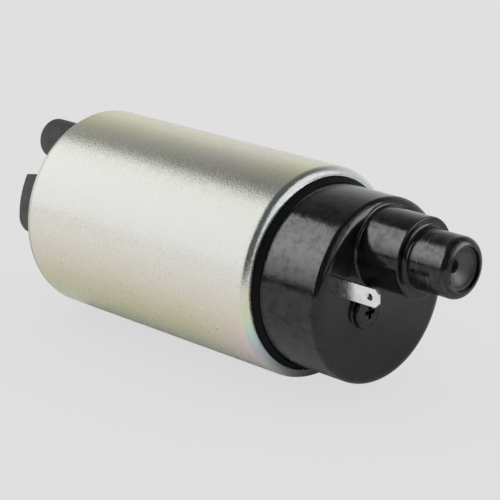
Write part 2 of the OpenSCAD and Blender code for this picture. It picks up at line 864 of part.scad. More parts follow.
// The pump casing: a cup for the impeller, the lower bearing's seat and the port
module pump_casing() {
    port_r = channel_r + vane_len / 2;
    port_a = 90 - channel_arc + 8;
    color("dimgray") difference() {
        rod(2 * flange_r, cover_top + seat_gap, casing_top);
        rod(impeller_d + 2 * run_gap, cover_top - lap, pocket_top);
        channel(pocket_top, 1);
        rod(port_d, pocket_top - lap, casing_top + lap, port_r * cos(port_a),
            port_r * sin(port_a));
        rod(bush_d + 2 * seat_gap, casing_top - bush_len - seat_gap, casing_top + lap);
        rod(shaft_d + 2 * lap, pocket_top - lap, casing_top);
    }
}

// Outline of the impeller's disc, less its driving hole
module impeller_hole() {
    difference() {
        circle(d = shaft_d + 2 * run_gap);
        translate([shaft_d / 2 - shaft_flat + run_gap, -shaft_d])
            square([shaft_d, 2 * shaft_d]);
    }
}

// The impeller: two rows of vanes on a thin web
module impeller() {
    row_h = (impeller_t - web_t) / 2;
    color("saddlebrown") at(impeller_x) difference() {
        linear_extrude(impeller_t) difference() {
            circle(d = impeller_d);
            impeller_hole();
        }
        for (z = [-lap, impeller_t - row_h])
            translate([0, 0, z]) linear_extrude(row_h + lap)
                for (i = [0 : vanes - 1]) rotate(360 * i / vanes) {
                    gap = PI * 2 * channel_r / vanes - vane_t;
                    translate([channel_r, -gap / 2]) square([2 * vane_len, gap]);
                }
    }
}

// The locating lug on the inlet cover: an arched wall with its low corner rounded
module lug() {
    tip_x = cover_x - lug_h;
    intersection() {
        at(tip_x) rotate_extrude() band(lug_r - lug_t, lug_r, 0, lug_h + lap);
        at(tip_x) rotate(lug_angle) rotate([90, 0, 90])
            linear_extrude(can_r) difference() {
                translate([-lug_w / 2, 0]) square([lug_w, lug_h + lap]);
                edge_cut(lug_w / 2, 0, lug_corner, 1, -1);
            }
    }
}

// The moulded inlet cover: plate, inlet nipple, locating lug and flow channel
module pump_cover() {
    color("darkslategray") difference() {
        union() {
            rod(2 * flange_r, cover_x + seat_gap, cover_top);
            rod(collar_d, cover_x - collar_h, cover_x + lap, 0, nipple_z);
            at(0, 0, nipple_z) rotate_extrude() difference() {
                band(0, nipple_d / 2, nipple_x, cover_x + lap);
                edge_cut(nipple_d / 2, nipple_x, nipple_edge, 1, -1);
            }
            lug();
        }
        rod(nipple_bore, nipple_x - lap, cover_top - channel_h, 0, nipple_z);
        channel(cover_top, -1);
        rod(nipple_bore - 2 * lap, nipple_x, cover_top + lap, 0, nipple_z);
        rod(thrust_d + 2 * seat_gap, thrust_x, cover_top + lap);
    }
}

// The hard disc that takes the shaft's thrust
module thrust_disc() {
    color("silver") rod(thrust_d, thrust_x + seat_gap, shaft_x - run_gap);
}

can();
outlet_cover();
cover_seal();
nozzle_insert();
check_valve_poppet();
check_valve_spring();
relief_valve_ball();
relief_valve_spring();
relief_valve_plug();
terminal_positive();
terminal_negative();
choke_core_positive();
choke_core_negative();
choke_coil_positive();
choke_coil_negative();
brush_holder();
brush_positive();
brush_negative();
brush_spring_positive();
brush_spring_negative();
brush_lead_positive();
brush_lead_negative();
upper_bearing();
lower_bearing();
magnet_upper();
magnet_lower();
magnet_clip_left();
magnet_clip_right();
shaft();
armature_core();
core_insulators();
armature_windings();
commutator_hub();
commutator_segments();
pump_casing();
impeller();
pump_cover();
thrust_disc();
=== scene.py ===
"""Looks of an electric fuel pump of the in-tank kind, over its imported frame.

The classes hold their sizes in millimetres, as the CAD does, and the meshes are in
metres. X runs along the pump's axis towards the outlet, Z is up through the outlet
boss, and the origin is on the axis at the middle of the can. Azimuths are in degrees
from the pump's near side, which faces -Y, round towards its outlet.

In a finish, the fields named for marks, such as clouds or grains, are how many there are
to a metre, and depths are in millimetres. A patch's two ends are where it starts and
where it is full: along the axis in millimetres, or as shares of a height or a noise.
"""

import logging
import math
from dataclasses import dataclass, replace
from enum import Enum
from typing import Callable, Iterable, Sequence

import bpy
from mathutils import Euler, Matrix, Vector

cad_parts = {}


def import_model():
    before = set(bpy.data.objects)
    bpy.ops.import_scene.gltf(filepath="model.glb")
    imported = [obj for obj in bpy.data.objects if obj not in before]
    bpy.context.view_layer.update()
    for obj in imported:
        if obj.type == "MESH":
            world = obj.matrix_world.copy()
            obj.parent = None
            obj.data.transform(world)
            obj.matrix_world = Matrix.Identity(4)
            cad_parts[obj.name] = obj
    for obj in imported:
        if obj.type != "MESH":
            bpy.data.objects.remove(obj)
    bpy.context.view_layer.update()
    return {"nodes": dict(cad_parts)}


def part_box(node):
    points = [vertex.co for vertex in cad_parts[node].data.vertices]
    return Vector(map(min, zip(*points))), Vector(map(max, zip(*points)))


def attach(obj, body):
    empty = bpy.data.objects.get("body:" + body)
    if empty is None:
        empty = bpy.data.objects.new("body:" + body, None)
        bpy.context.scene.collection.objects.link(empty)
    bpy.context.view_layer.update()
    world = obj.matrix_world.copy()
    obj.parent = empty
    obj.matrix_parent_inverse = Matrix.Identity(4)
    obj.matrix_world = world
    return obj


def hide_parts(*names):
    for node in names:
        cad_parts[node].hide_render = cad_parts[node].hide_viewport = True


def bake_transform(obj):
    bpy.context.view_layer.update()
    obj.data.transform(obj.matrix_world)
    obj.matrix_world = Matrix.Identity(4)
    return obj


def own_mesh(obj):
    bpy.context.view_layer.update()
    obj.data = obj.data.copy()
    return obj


LOG = logging.getLogger("fuel_pump")

MM = 0.001  # a millimetre in metres
ROUND = 192  # faces round a large piece
HOLD = 0.04  # mm from an arc's end to the near point that holds its shading
OVERCUT = 1.0  # mm that a cutting tool reaches past what it cuts
NEAR = 0.02  # mm within which an edge counts as being at a place

Point = tuple[float, float]
Place = tuple[float, float, float]
Colour = tuple[float, float, float]
Piece = bpy.types.Object
Material = bpy.types.Material
Socket = bpy.types.NodeSocket


class Slot(Enum):
    """Material slot names from the record, which no piece made here is given."""

    ZINC = "zinc_steel"
    BLACK = "black_plastic"
    INLET = "inlet_plastic"
    INSERT = "insert_plastic"
    RUBBER = "rubber"
    TINNED = "tinned_brass"
    COPPER = "copper"
    SPRING = "spring_steel"


class Body(Enum):
    """The frame's bodies that the pieces made here ride on."""

    PUMP = "pump_body"
    BRUSH_POSITIVE = "positive_brush"
    BRUSH_NEGATIVE = "negative_brush"


class Solid(Enum):
    """How one solid is combined with another."""

    JOIN = "UNION"
    CUT = "DIFFERENCE"
    COMMON = "INTERSECT"


def deselect() -> None:
    """Leaves edit mode and clears the selection."""
    if bpy.context.object and bpy.context.object.mode != "OBJECT":
        bpy.ops.object.mode_set(mode="OBJECT")
    bpy.ops.object.select_all(action="DESELECT")


def pick(piece: Piece) -> None:
    """Selects one object alone and makes it active.

    Args:
        piece: The object.
    """
    deselect()
    piece.select_set(True)
    bpy.context.view_layer.objects.active = piece


def settle(name: str) -> Piece:
    """Names the active object and brings its place into its mesh.

    Args:
        name: The piece's name.

    Returns:
        The active object, at the origin, unturned and unscaled.
    """
    piece = bpy.context.object
    piece.name = piece.data.name = name
    bpy.ops.object.transform_apply(location=True, rotation=True, scale=True)
    return piece


def tidy_mesh(piece: Piece) -> None:
    """Merges doubles and turns every face outwards.

    Args:
        piece: The mesh object.
    """
    pick(piece)
    bpy.ops.object.mode_set(mode="EDIT")
    bpy.ops.mesh.select_all(action="SELECT")
    bpy.ops.mesh.remove_doubles(threshold=1e-6)
    bpy.ops.mesh.normals_make_consistent(inside=False)
    bpy.ops.object.mode_set(mode="OBJECT")


def smooth(piece: Piece, angle: float = 32.0) -> None:
    """Shades a piece smooth, with its corners kept sharp.

    Args:
        piece: The mesh object.
        angle: The least angle of a sharp edge, in degrees.
    """
    pick(piece)
    bpy.ops.object.shade_smooth_by_angle(angle=math.radians(angle))


@dataclass(frozen=True)
class Corner:
    """A corner of a revolved outline: place along the axis, radius and rounding."""

    x: float
    r: float
    fillet: float = 0.0


def outline(corners: Sequence[Corner], closed: bool = False, arc_steps: int = 9) -> list[Point]:
    """Rounds an outline's corners, with a near point beside each arc that holds its shading.

    Args:
        corners: The corners in order.
        closed: Whether the last corner runs on to the first.
        arc_steps: Faces across each rounding.

    Returns:
        The points of the outline, in mm.
    """
    points: list[Point] = []
    count = len(corners)
    for i, corner in enumerate(corners):
        here = Vector((corner.x, corner.r))
        inner = closed or 0 < i < count - 1
        if corner.fillet <= 0 or not inner:
            points.append((corner.x, corner.r))
            continue
        before, after = corners[i - 1], corners[(i + 1) % count]
        u = (Vector((before.x, before.r)) - here).normalized()
        v = (Vector((after.x, after.r)) - here).normalized()
        half = u.angle(v) / 2
        reach = corner.fillet / math.tan(half)
        centre = here + (u + v).normalized() * corner.fillet / math.sin(half)
        first, last = here + u * reach - centre, here + v * reach - centre
        turn = math.atan2(first.x * last.y - first.y * last.x, first.dot(last))
        start = math.atan2(first.y, first.x)
        points.append(tuple(here + u * (reach + HOLD)))
        for k in range(arc_steps + 1):
            angle = start + turn * k / arc_steps
            points.append((centre.x + corner.fillet * math.cos(angle),
                           centre.y + corner.fillet * math.sin(angle)))
        points.append(tuple(here + v * (reach + HOLD)))
    if closed:
        points.append(points[0])
    return points


def lathe(name: str, points: Sequence[Point], centre: Point = (0.0, 0.0),
          steps: int = ROUND) -> Piece:
    """Revolves an outline round an axis along X, one ring after another.

    Args:
        name: The piece's name.
        points: Places along the axis and radii, in mm. A radius of 0 closes an end with a flat face.
        centre: Y and Z of the axis, in mm.
        steps: Faces round the piece.

    Returns:
        The closed mesh.
    """
    y, z = (value * MM for value in centre)
    rings = [point for point in points if point[1] > 0]
    deselect()
    bpy.ops.mesh.primitive_circle_add(vertices=steps, radius=rings[0][1] * MM,
                                      location=(rings[0][0] * MM, y, z), rotation=(0, math.pi / 2, 0))
    piece = settle(name)
    bpy.ops.object.mode_set(mode="EDIT")
    bpy.ops.mesh.select_all(action="SELECT")
    for (x0, r0), (x1, r1) in zip(rings, rings[1:]):
        bpy.ops.mesh.extrude_region_move(TRANSFORM_OT_translate={"value": ((x1 - x0) * MM, 0, 0)})
        bpy.ops.transform.resize(value=(1, r1 / r0, r1 / r0), center_override=(x1 * MM, y, z))
    if len(rings) < len(points):
        bpy.ops.mesh.select_all(action="SELECT")
        bpy.ops.mesh.fill_holes(sides=0)
    bpy.ops.object.mode_set(mode="OBJECT")
    tidy_mesh(piece)
    return piece


def block(name: str, low: Place, high: Place) -> Piece:
    """Makes a box between two corners.

    Args:
        name: The piece's name.
        low: The lowest corner, in mm.
        high: The highest corner, in mm.

    Returns:
        The box.
    """
    deselect()
    middle = [(a + b) / 2 * MM for a, b in zip(low, high)]
    bpy.ops.mesh.primitive_cube_add(size=1, location=middle)
    bpy.context.object.scale = [(b - a) * MM for a, b in zip(low, high)]
    return settle(name)


def combine(piece: Piece, tool: Piece, how: Solid) -> None:
    """Joins, cuts or intersects a piece with a tool, which is used up.

    Args:
        piece: The mesh object that stays.
        tool: The mesh object that goes.
        how: The operation.
    """
    modifier = piece.modifiers.new("combine", "BOOLEAN")
    modifier.operation = how.value
    modifier.solver = "EXACT"
    modifier.object = tool
    pick(piece)
    bpy.ops.object.modifier_apply(modifier=modifier.name)
    bpy.data.objects.remove(tool, do_unlink=True)


def soften(piece: Piece, width: float, segments: int, angle: float = 40.0) -> None:
    """Rounds every sharp edge of a piece with a bevel.

    Args:
        piece: The mesh object.
        width: The rounding, in mm.
        segments: Faces across it.
        angle: The least angle of an edge that is rounded, in degrees.
    """
    modifier = piece.modifiers.new("edge", "BEVEL")
    modifier.width = width * MM
    modifier.segments = segments
    modifier.limit_method = "ANGLE"
    modifier.angle_limit = math.radians(angle)
    pick(piece)
    bpy.ops.object.modifier_apply(modifier=modifier.name)


def bevel_edges(piece: Piece, width: float, segments: int,
                wanted: Callable[[Vector, Vector], bool]) -> None:
    """Bevels some of a piece's edges in edit mode.

    Args:
        piece: The mesh object.
        width: The bevel's offset, in mm.
        segments: Faces across it.
        wanted: Says of an edge's two ends, in mm, whether the edge is bevelled.
    """
    pick(piece)
    mesh = piece.data
    bpy.ops.object.mode_set(mode="EDIT")
    bpy.ops.mesh.select_mode(type="EDGE")
    bpy.ops.mesh.select_all(action="DESELECT")
    bpy.ops.object.mode_set(mode="OBJECT")
    for edge in mesh.edges:
        a, b = (mesh.vertices[i].co / MM for i in edge.vertices)
        edge.select = wanted(a, b)
    bpy.ops.object.mode_set(mode="EDIT")
    bpy.ops.mesh.bevel(offset=width * MM, segments=segments)
    bpy.ops.object.mode_set(mode="OBJECT")


def wire(name: str, path: Sequence[Place], thick: float, sides: int = 10) -> Piece:
    """Sweeps a round wire along a path.

    Args:
        name: The piece's name.
        path: The wire's middle line, in mm.
        thick: The wire's diameter, in mm.
        sides: Faces round it.

    Returns:
        The closed mesh.
    """
    deselect()
    bpy.ops.curve.primitive_bezier_curve_add(location=(0, 0, 0))
    curve = bpy.context.object.data
    curve.splines.clear()
    spline = curve.splines.new("POLY")
    spline.points.add(len(path) - 1)
    for point, place in zip(spline.points, path):
        point.co = (*(value * MM for value in place), 1.0)
    curve.dimensions = "3D"
    curve.use_fill_caps = True
    curve.bevel_depth = thick / 2 * MM
    curve.bevel_resolution = sides // 2 - 2
    bpy.ops.object.convert(target="MESH")
    piece = settle(name)
    tidy_mesh(piece)
    smooth(piece, angle=50)
    return piece


def dress(piece: Piece, body: Body, material: Material, nodes: Iterable[str]) -> Piece:
    """Dresses a finished piece and hangs it on its body.

    Args:
        piece: The finished mesh object.
        body: The body that it moves with.
        material: Its finish.
        nodes: The frame's nodes that it stands for.

    Returns:
        The same object.
    """
    piece.data.materials.clear()
    piece.data.materials.append(material)
    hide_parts(*nodes)
    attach(piece, body.value)
    LOG.info("%-24s %6d faces on %s", piece.name, len(piece.data.polygons), body.value)
    return piece


class Graph:
    """A node tree, with short calls that add nodes and join them."""

    def __init__(self, owner: Material | bpy.types.World | bpy.types.Light) -> None:
        """Starts the owner's node tree afresh.

        Args:
            owner: The material, world or lamp.
        """
        owner.use_nodes = True
        self.tree = owner.node_tree
        self.tree.nodes.clear()

    def add(self, kind: str, **settings: object) -> bpy.types.Node:
        """Adds a node.

        Args:
            kind: The node's type.
            settings: Properties of the node.

        Returns:
            The node.
        """
        node = self.tree.nodes.new(kind)
        for key, value in settings.items():
            setattr(node, key, value)
        return node

    def join(self, output: Socket, socket: Socket) -> None:
        """Links an output to a socket."""
        self.tree.links.new(output, socket)

    def axes(self, vector: Socket) -> list[Socket]:
        """Splits a vector.

        Args:
            vector: The vector.

        Returns:
            Its X, Y and Z.
        """
        node = self.add("ShaderNodeSeparateXYZ")
        self.join(vector, node.inputs[0])
        return list(node.outputs)

    def math(self, operation: str, a: Socket | float, b: Socket | float) -> Socket:
        """One step of arithmetic.

        Args:
            operation: The Math node's operation.
            a: The first value.
            b: The second value.

        Returns:
            The result.
        """
        node = self.add("ShaderNodeMath", operation=operation)
        for socket, value in zip(node.inputs, (a, b)):
            if isinstance(value, (int, float)):
                socket.default_value = value
            else:
                self.join(value, socket)
        return node.outputs[0]

    def span(self, value: Socket, ends: Point, results: Point, smoothly: bool = False) -> Socket:
        """Maps a range of a value on another range, and clamps it.

        Args:
            value: The value.
            ends: The two ends of its range.
            results: The results at them.
            smoothly: Whether the result eases in and out.

        Returns:
            The result.
        """
        node = self.add("ShaderNodeMapRange", interpolation_type="SMOOTHSTEP" if smoothly else "LINEAR")
        self.join(value, node.inputs["Value"])
        for name, number in zip(("From Min", "From Max", "To Min", "To Max"), (*ends, *results)):
            node.inputs[name].default_value = number
        return node.outputs["Result"]

    def patch(self, value: Socket, ends: Point, share: float = 1.0, unit: float = 1.0) -> Socket:
        """A mask that grows from 0 at one value to its full share at another.

        Args:
            value: The value.
            ends: Where the patch starts, and where it is full.
            share: The full share.
            unit: What the ends are multiplied with.

        Returns:
            The mask.
        """
        return self.span(value, (ends[0] * unit, ends[1] * unit), (0.0, share))

    def shift(self, value: Socket, noise: Socket, reach: float) -> Socket:
        """Moves a value up and down with a noise.

        Args:
            value: The value.
            noise: The noise from 0 to 1.
            reach: The whole range of the move.

        Returns:
            The moved value.
        """
        return self.math("ADD", value, self.math("MULTIPLY", self.math("SUBTRACT", noise, 0.5), reach))

    def ramp(self, value: Socket, stops: Sequence[tuple[float, Colour]]) -> Socket:
        """Colours along a value.

        Args:
            value: The value from 0 to 1.
            stops: Places and colours.

        Returns:
            The colour.
        """
        node = self.add("ShaderNodeValToRGB")
        self.join(value, node.inputs[0])
        elements = node.color_ramp.elements
        while len(elements) < len(stops):
            elements.new(0.5)
        for element, (at, colour) in zip(elements, stops):
            element.position = at
            element.color = (*colour, 1.0)
        return node.outputs[0]

    def blend(self, share: Socket, a: Socket | Colour, b: Socket | Colour) -> Socket:
        """Mixes two colours.

        Args:
            share: 0 for the first, 1 for the second.
            a: The first colour.
            b: The second colour.

        Returns:
            The mixed colour.
        """
        node = self.add("ShaderNodeMix", data_type="RGBA")
        self.join(share, node.inputs[0])
        for socket, value in ((node.inputs[6], a), (node.inputs[7], b)):
            if isinstance(value, tuple):
                socket.default_value = (*value, 1.0)
            else:
                self.join(value, socket)
        return node.outputs[2]

    def by_ray(self, others: Socket, camera: Socket) -> Socket:
        """Shows the camera one shader, and light and reflections another.

        Args:
            others: The shader for light and reflections.
            camera: The shader for the camera.

        Returns:
            The mixed shader.
        """
        mix = self.add("ShaderNodeMixShader")
        self.join(self.add("ShaderNodeLightPath").outputs["Is Camera Ray"], mix.inputs[0])
        self.join(others, mix.inputs[1])
        self.join(camera, mix.inputs[2])
        return mix.outputs[0]


class Surface(Graph):
    """A finish's nodes round its Principled shader."""

    def __init__(self, name: str) -> None:
        """Starts a material.

        Args:
            name: The material's name.
        """
        self.material = bpy.data.materials.new(name)
        super().__init__(self.material)
        self.shader = self.add("ShaderNodeBsdfPrincipled")
        self.join(self.shader.outputs[0], self.add("ShaderNodeOutputMaterial").inputs[0])
        self.object = self.add("ShaderNodeTexCoord").outputs["Object"]

    def set(self, **values: object) -> None:
        """Sets the shader's own sockets, with _ for the space in a socket's name."""
        for key, value in values.items():
            self.shader.inputs[key.replace("_", " ")].default_value = value

    def feed(self, socket: str, output: Socket) -> None:
        """Links an output to one of the shader's sockets."""
        self.join(output, self.shader.inputs[socket])

    def stretched(self, scale: Place, turn: Place = (0.0, 0.0, 0.0)) -> Socket:
        """Object coordinates, stretched and turned.

        Args:
            scale: The factor on each axis.
            turn: The turn about each axis, in degrees.

        Returns:
            The vector.
        """
        node = self.add("ShaderNodeMapping")
        self.join(self.object, node.inputs["Vector"])
        node.inputs["Scale"].default_value = scale
        node.inputs["Rotation"].default_value = [math.radians(value) for value in turn]
        return node.outputs[0]

    def noise(self, scale: float, detail: float = 2.0, rough: float = 0.5,
              vector: Socket | None = None) -> Socket:
        """Fractal noise from 0 to 1.

        Args:
            scale: Repeats per metre.
            detail: Octaves.
            rough: How strong the finer octaves are.
            vector: The coordinates, or None for the object's own.

        Returns:
            The noise.
        """
        node = self.add("ShaderNodeTexNoise")
        for name, number in (("Scale", scale), ("Detail", detail), ("Roughness", rough)):
            node.inputs[name].default_value = number
        self.join(vector or self.object, node.inputs["Vector"])
        return node.outputs["Fac"]

    def specks(self, scale: float, size: float, share: float) -> Socket:
        """Scattered round specks, 1 on a speck and 0 off it.

        Args:
            scale: Cells per metre.
            size: The speck's radius as a share of a cell.
            share: The share of the cells that hold one.

        Returns:
            The mask.
        """
        core, fade = 0.55, 0.01
        node = self.add("ShaderNodeTexVoronoi")
        node.inputs["Scale"].default_value = scale
        self.join(self.object, node.inputs["Vector"])
        near = self.patch(node.outputs["Distance"], (size, size * core))
        chosen = self.patch(node.outputs["Color"], (1.0 - share, 1.0 - share + fade))
        return self.math("MULTIPLY", near, chosen)

    def relief(self, *layers: tuple[Socket, float]) -> None:
        """Gives the surface its fine relief.

        Args:
            layers: Heights from 0 to 1, each with its depth in mm.
        """
        normal = None
        for height, depth in layers:
            node = self.add("ShaderNodeBump")
            node.inputs["Distance"].default_value = depth * MM
            self.join(height, node.inputs["Height"])
            if normal is not None:
                self.join(normal, node.inputs["Normal"])
            normal = node.outputs[0]
        self.feed("Normal", normal)


@dataclass(frozen=True)
class ZincPlate:
    """Zinc plating whose passivate shows faint interference colours from top to bottom.

    The colours are a painted sheen. On the real plating they change with the viewing angle. Here they are
    painted in bands by height, as one side view shows them, and kept nearly neutral where the main
    highlight falls.

    A band is its height as a share of the can, with its red and its blue against its green.
    """

    name: str = "zinc_plate"
    radius: float = 19.0
    level: float = 0.775
    # Painted sheen: the plating's angle-dependent interference colours, painted by height as one side view
    # shows them
    sheen_bands: tuple[Place, ...] = (
        (0.05, 0.98, 0.86), (0.13, 0.98, 0.76), (0.20, 1.00, 0.69), (0.25, 1.06, 0.73), (0.34, 1.08, 0.81),
        (0.45, 1.055, 0.89), (0.55, 1.04, 0.91), (0.63, 1.01, 0.95), (0.79, 1.00, 0.97), (0.87, 0.99, 0.92),
        (0.947, 1.00, 0.84), (0.974, 1.02, 0.78), (0.988, 1.03, 0.74), (1.00, 0.99, 0.70))
    # Painted sheen on the rolled outlet rim, also painted by height
    rim_sheen_bands: tuple[tuple[float, Colour], ...] = (
        (0.05, (0.60, 0.66, 0.60)), (0.16, (0.62, 0.72, 0.66)), (0.22, (0.66, 0.64, 0.72)),
        (0.28, (0.58, 0.74, 0.70)), (0.36, (0.68, 0.76, 0.56)), (0.44, (0.74, 0.74, 0.56)),
        (0.55, (0.76, 0.74, 0.66)), (0.70, (0.76, 0.76, 0.75)), (0.86, (0.70, 0.77, 0.77)),
        (1.00, (0.78, 0.77, 0.76)))
    rim_x: Point = (27.95, 28.45)
    streaks: float = 70.0
    streak_shift: float = 0.10
    mauve: Colour = (1.018, 0.950, 0.941)
    mauve_heights: Point = (0.90, 0.97)
    clouds: float = 48.0
    cloud_ends: Point = (0.50, 0.62)
    cloud_share: float = 0.75
    pink: Colour = (1.137, 0.980, 0.951)
    pink_heights: Point = (0.46, 0.30)
    pink_share: float = 0.9
    pink_x: Point = (13.0, 22.0)
    pink_shift: float = 20.0
    # Painted shade: a darker grey on the inlet end's rolled edge, where the roll turns away and reflects
    # less light
    stain_and_roll_shade: Colour = (0.46, 0.46, 0.42)
    roll_shade_x: Point = (-27.9, -28.3)
    roll_shade_share: float = 0.85
    speck: Colour = (0.16, 0.15, 0.13)
    speck_scatter: Place = (150.0, 0.05, 0.012)
    rough: Point = (0.19, 0.29)
    mists: float = 900.0
    mist_ends: Point = (0.3, 0.7)
    grains: float = 3000.0
    grain_depth: float = 0.034
    waves: float = 90.0
    wave_depth: float = 0.04

    def build(self) -> Material:
        """Makes the material.

        Returns:
            The material.
        """
        g = Surface(self.name)
        x, _, z = g.axes(g.object)
        height = g.math("ADD", g.math("DIVIDE", z, 2 * self.radius * MM), 0.5)
        streak = g.noise(self.streaks, vector=g.stretched((0.45, 1.0, 1.0)))
        # The painted sheen's height in the bands, wavered by the streaks
        sheen_tone = g.shift(height, streak, self.streak_shift)
        colour = g.ramp(sheen_tone, [(at, self._tint((red, 1.0, blue))) for at, red, blue in self.sheen_bands])
        cloud = g.noise(self.clouds, detail=1.5, vector=g.stretched((0.6, 1.0, 1.0), (0.0, 0.0, 25.0)))
        mauve = g.math("MULTIPLY", g.patch(cloud, self.cloud_ends, self.cloud_share),
                       g.patch(height, self.mauve_heights))
        colour = g.blend(mauve, colour, self._tint(self.mauve))
        near_rim = g.patch(g.shift(x, streak, self.pink_shift * MM), self.pink_x, unit=MM)
        pink = g.math("MULTIPLY", g.patch(height, self.pink_heights, self.pink_share), near_rim)
        colour = g.blend(pink, colour, self._tint(self.pink))
        colour = g.blend(g.patch(x, self.rim_x, unit=MM), colour, g.ramp(sheen_tone, self.rim_sheen_bands))
        # Painted shade on the inlet end's rolled edge
        colour = g.blend(g.patch(x, self.roll_shade_x, self.roll_shade_share, MM), colour, self.stain_and_roll_shade)
        g.feed("Base Color", g.blend(g.specks(*self.speck_scatter), colour, self.speck))
        g.set(Metallic=1.0)
        g.feed("Roughness", g.span(g.noise(self.mists), self.mist_ends, self.rough))
        g.relief((g.noise(self.grains, rough=0.6), self.grain_depth),
                 (g.noise(self.waves, detail=1.0), self.wave_depth))
        return g.material

    def _tint(self, colour: Colour) -> Colour:
        """Brings a tint to the plating's brightness."""
        return tuple(self.level * value for value in colour)


@dataclass(frozen=True)
class GlossPlastic:
    """Glossy moulded plastic with shallow dents, a smeared film, a haze, dust and a worn end.

    The film brightens reflections in small patches, and the cap's face is nearly clean of it.
    """

    name: str
    colour: Colour = (0.005, 0.005, 0.0055)
    pale: Colour = (0.009, 0.009, 0.0099)
    pale_ends: Point = (0.45, 0.75)
    rough: float = 0.10
    haze: float = 0.12
    haze_ends: Point = (0.42, 0.72)
    smears: float = 260.0
    film: float = 0.42
    film_ends: Point = (0.46, 0.64)
    smudges: float = 640.0
    clean: float = 0.8
    clean_x: Point = (43.1, 43.5)
    above_x: Point = (43.8, 43.6)
    worn_colour: Colour = (0.075, 0.075, 0.075)
    worn_rough: float = 0.05
    worn_x: Point = (52.7, 53.1)
    scratches: float = 1500.0
    scratch_ends: Point = (0.56, 0.70)
    scratch_depth: float = 0.012
    dust_colour: Colour = (0.26, 0.26, 0.25)
    dust_cells: float = 330.0
    dust_size: float = 0.06
    dust: float = 0.035
    dents: float = 820.0
    dent_depth: float = 0.028
    waves: float = 70.0
    wave_depth: float = 0.03

    def build(self) -> Material:
        """Makes the material.

        Returns:
            The material.
        """
        g = Surface(self.name)
        x = g.axes(g.object)[0]
        worn = g.patch(x, self.worn_x, unit=MM)
        smear = g.noise(self.smears, detail=4.0, rough=0.66)
        scratch = g.noise(self.scratches, detail=3.0, rough=0.7, vector=g.stretched((1.6, 0.16, 0.16)))
        colour = g.blend(g.patch(smear, self.pale_ends), self.colour, self.pale)
        scuff = g.math("MULTIPLY", worn, g.patch(scratch, self.scratch_ends))
        colour = g.blend(scuff, colour, self.worn_colour)
        speck = g.specks(self.dust_cells, self.dust_size, self.dust)
        g.feed("Base Color", g.blend(speck, colour, self.dust_colour))
        hazy = g.span(smear, self.haze_ends, (self.rough, self.rough + self.haze))
        g.feed("Roughness", g.math("ADD", hazy, g.math("MULTIPLY", worn, self.worn_rough)))
        g.set(IOR=1.5)
        smudge = g.noise(self.smudges, detail=4.0, rough=0.72, vector=g.stretched((0.8, 1.0, 1.0)))
        film = g.patch(smudge, self.film_ends, self.film)
        clean = g.math("MULTIPLY", g.patch(x, self.clean_x, self.clean, MM),
                       g.patch(x, self.above_x, unit=MM))
        g.feed("Metallic", g.math("MULTIPLY", film, g.math("SUBTRACT", 1.0, clean)))
        g.relief((g.noise(self.dents, detail=3.0, rough=0.62), self.dent_depth),
                 (g.noise(self.waves, detail=1.0), self.wave_depth),
                 (g.math("MULTIPLY", scratch, worn), self.scratch_depth))
        return g.material


@dataclass(frozen=True)
class MattePlastic:
    """Filled moulded plastic: a mottled matte skin with a fine grain."""

    name: str
    colour: Colour
    rough: float
    spread: float = 0.08
    rough_ends: Point = (0.3, 0.7)
    mottle: float = 0.25
    clouds: float = 620.0
    cloud_stops: Place = (0.3, 0.5, 0.72)
    grains: float = 2600.0
    grain_depth: float = 0.012
    shine: float = 0.5

    def build(self) -> Material:
        """Makes the material.

        Returns:
            The material.
        """
        g = Surface(self.name)
        cloud = g.noise(self.clouds, detail=4.0, rough=0.72)
        factors = (1 - self.mottle, 1.0, 1 + self.mottle)
        tones = [tuple(value * factor for value in self.colour) for factor in factors]
        g.feed("Base Color", g.ramp(cloud, list(zip(self.cloud_stops, tones))))
        roughs = (self.rough - self.spread, self.rough + self.spread)
        g.feed("Roughness", g.span(cloud, self.rough_ends, roughs))
        g.set(Specular_IOR_Level=self.shine)
        g.relief((g.noise(self.grains), self.grain_depth))
        return g.material


@dataclass(frozen=True)
class Metal:
    """Plain metal with drawn or turned marks along one axis."""

    name: str
    colour: Colour
    rough: float
    spread: Point = (-0.06, 0.08)
    rough_ends: Point = (0.3, 0.7)
    marks: float = 3000.0
    stretch: Place = (1.0, 1.0, 1.0)
    depth: float = 0.004
    stains: float = 240.0
    stain: float = 0.12
    stain_stops: Point = (0.32, 0.6)

    def build(self) -> Material:
        """Makes the material.

        Returns:
            The material.
        """
        g = Surface(self.name)
        stain_and_roll_shade = tuple(value * (1 - self.stain) for value in self.colour)
        cloud = g.noise(self.stains, detail=3.0, rough=0.6)
        g.feed("Base Color", g.ramp(cloud, list(zip(self.stain_stops, (stain_and_roll_shade, self.colour)))))
        g.set(Metallic=1.0)
        marks = g.noise(self.marks, detail=3.0, rough=0.6, vector=g.stretched(self.stretch))
        roughs = tuple(self.rough + value for value in self.spread)
        g.feed("Roughness", g.span(marks, self.rough_ends, roughs))
        g.relief((marks, self.depth))
        return g.material


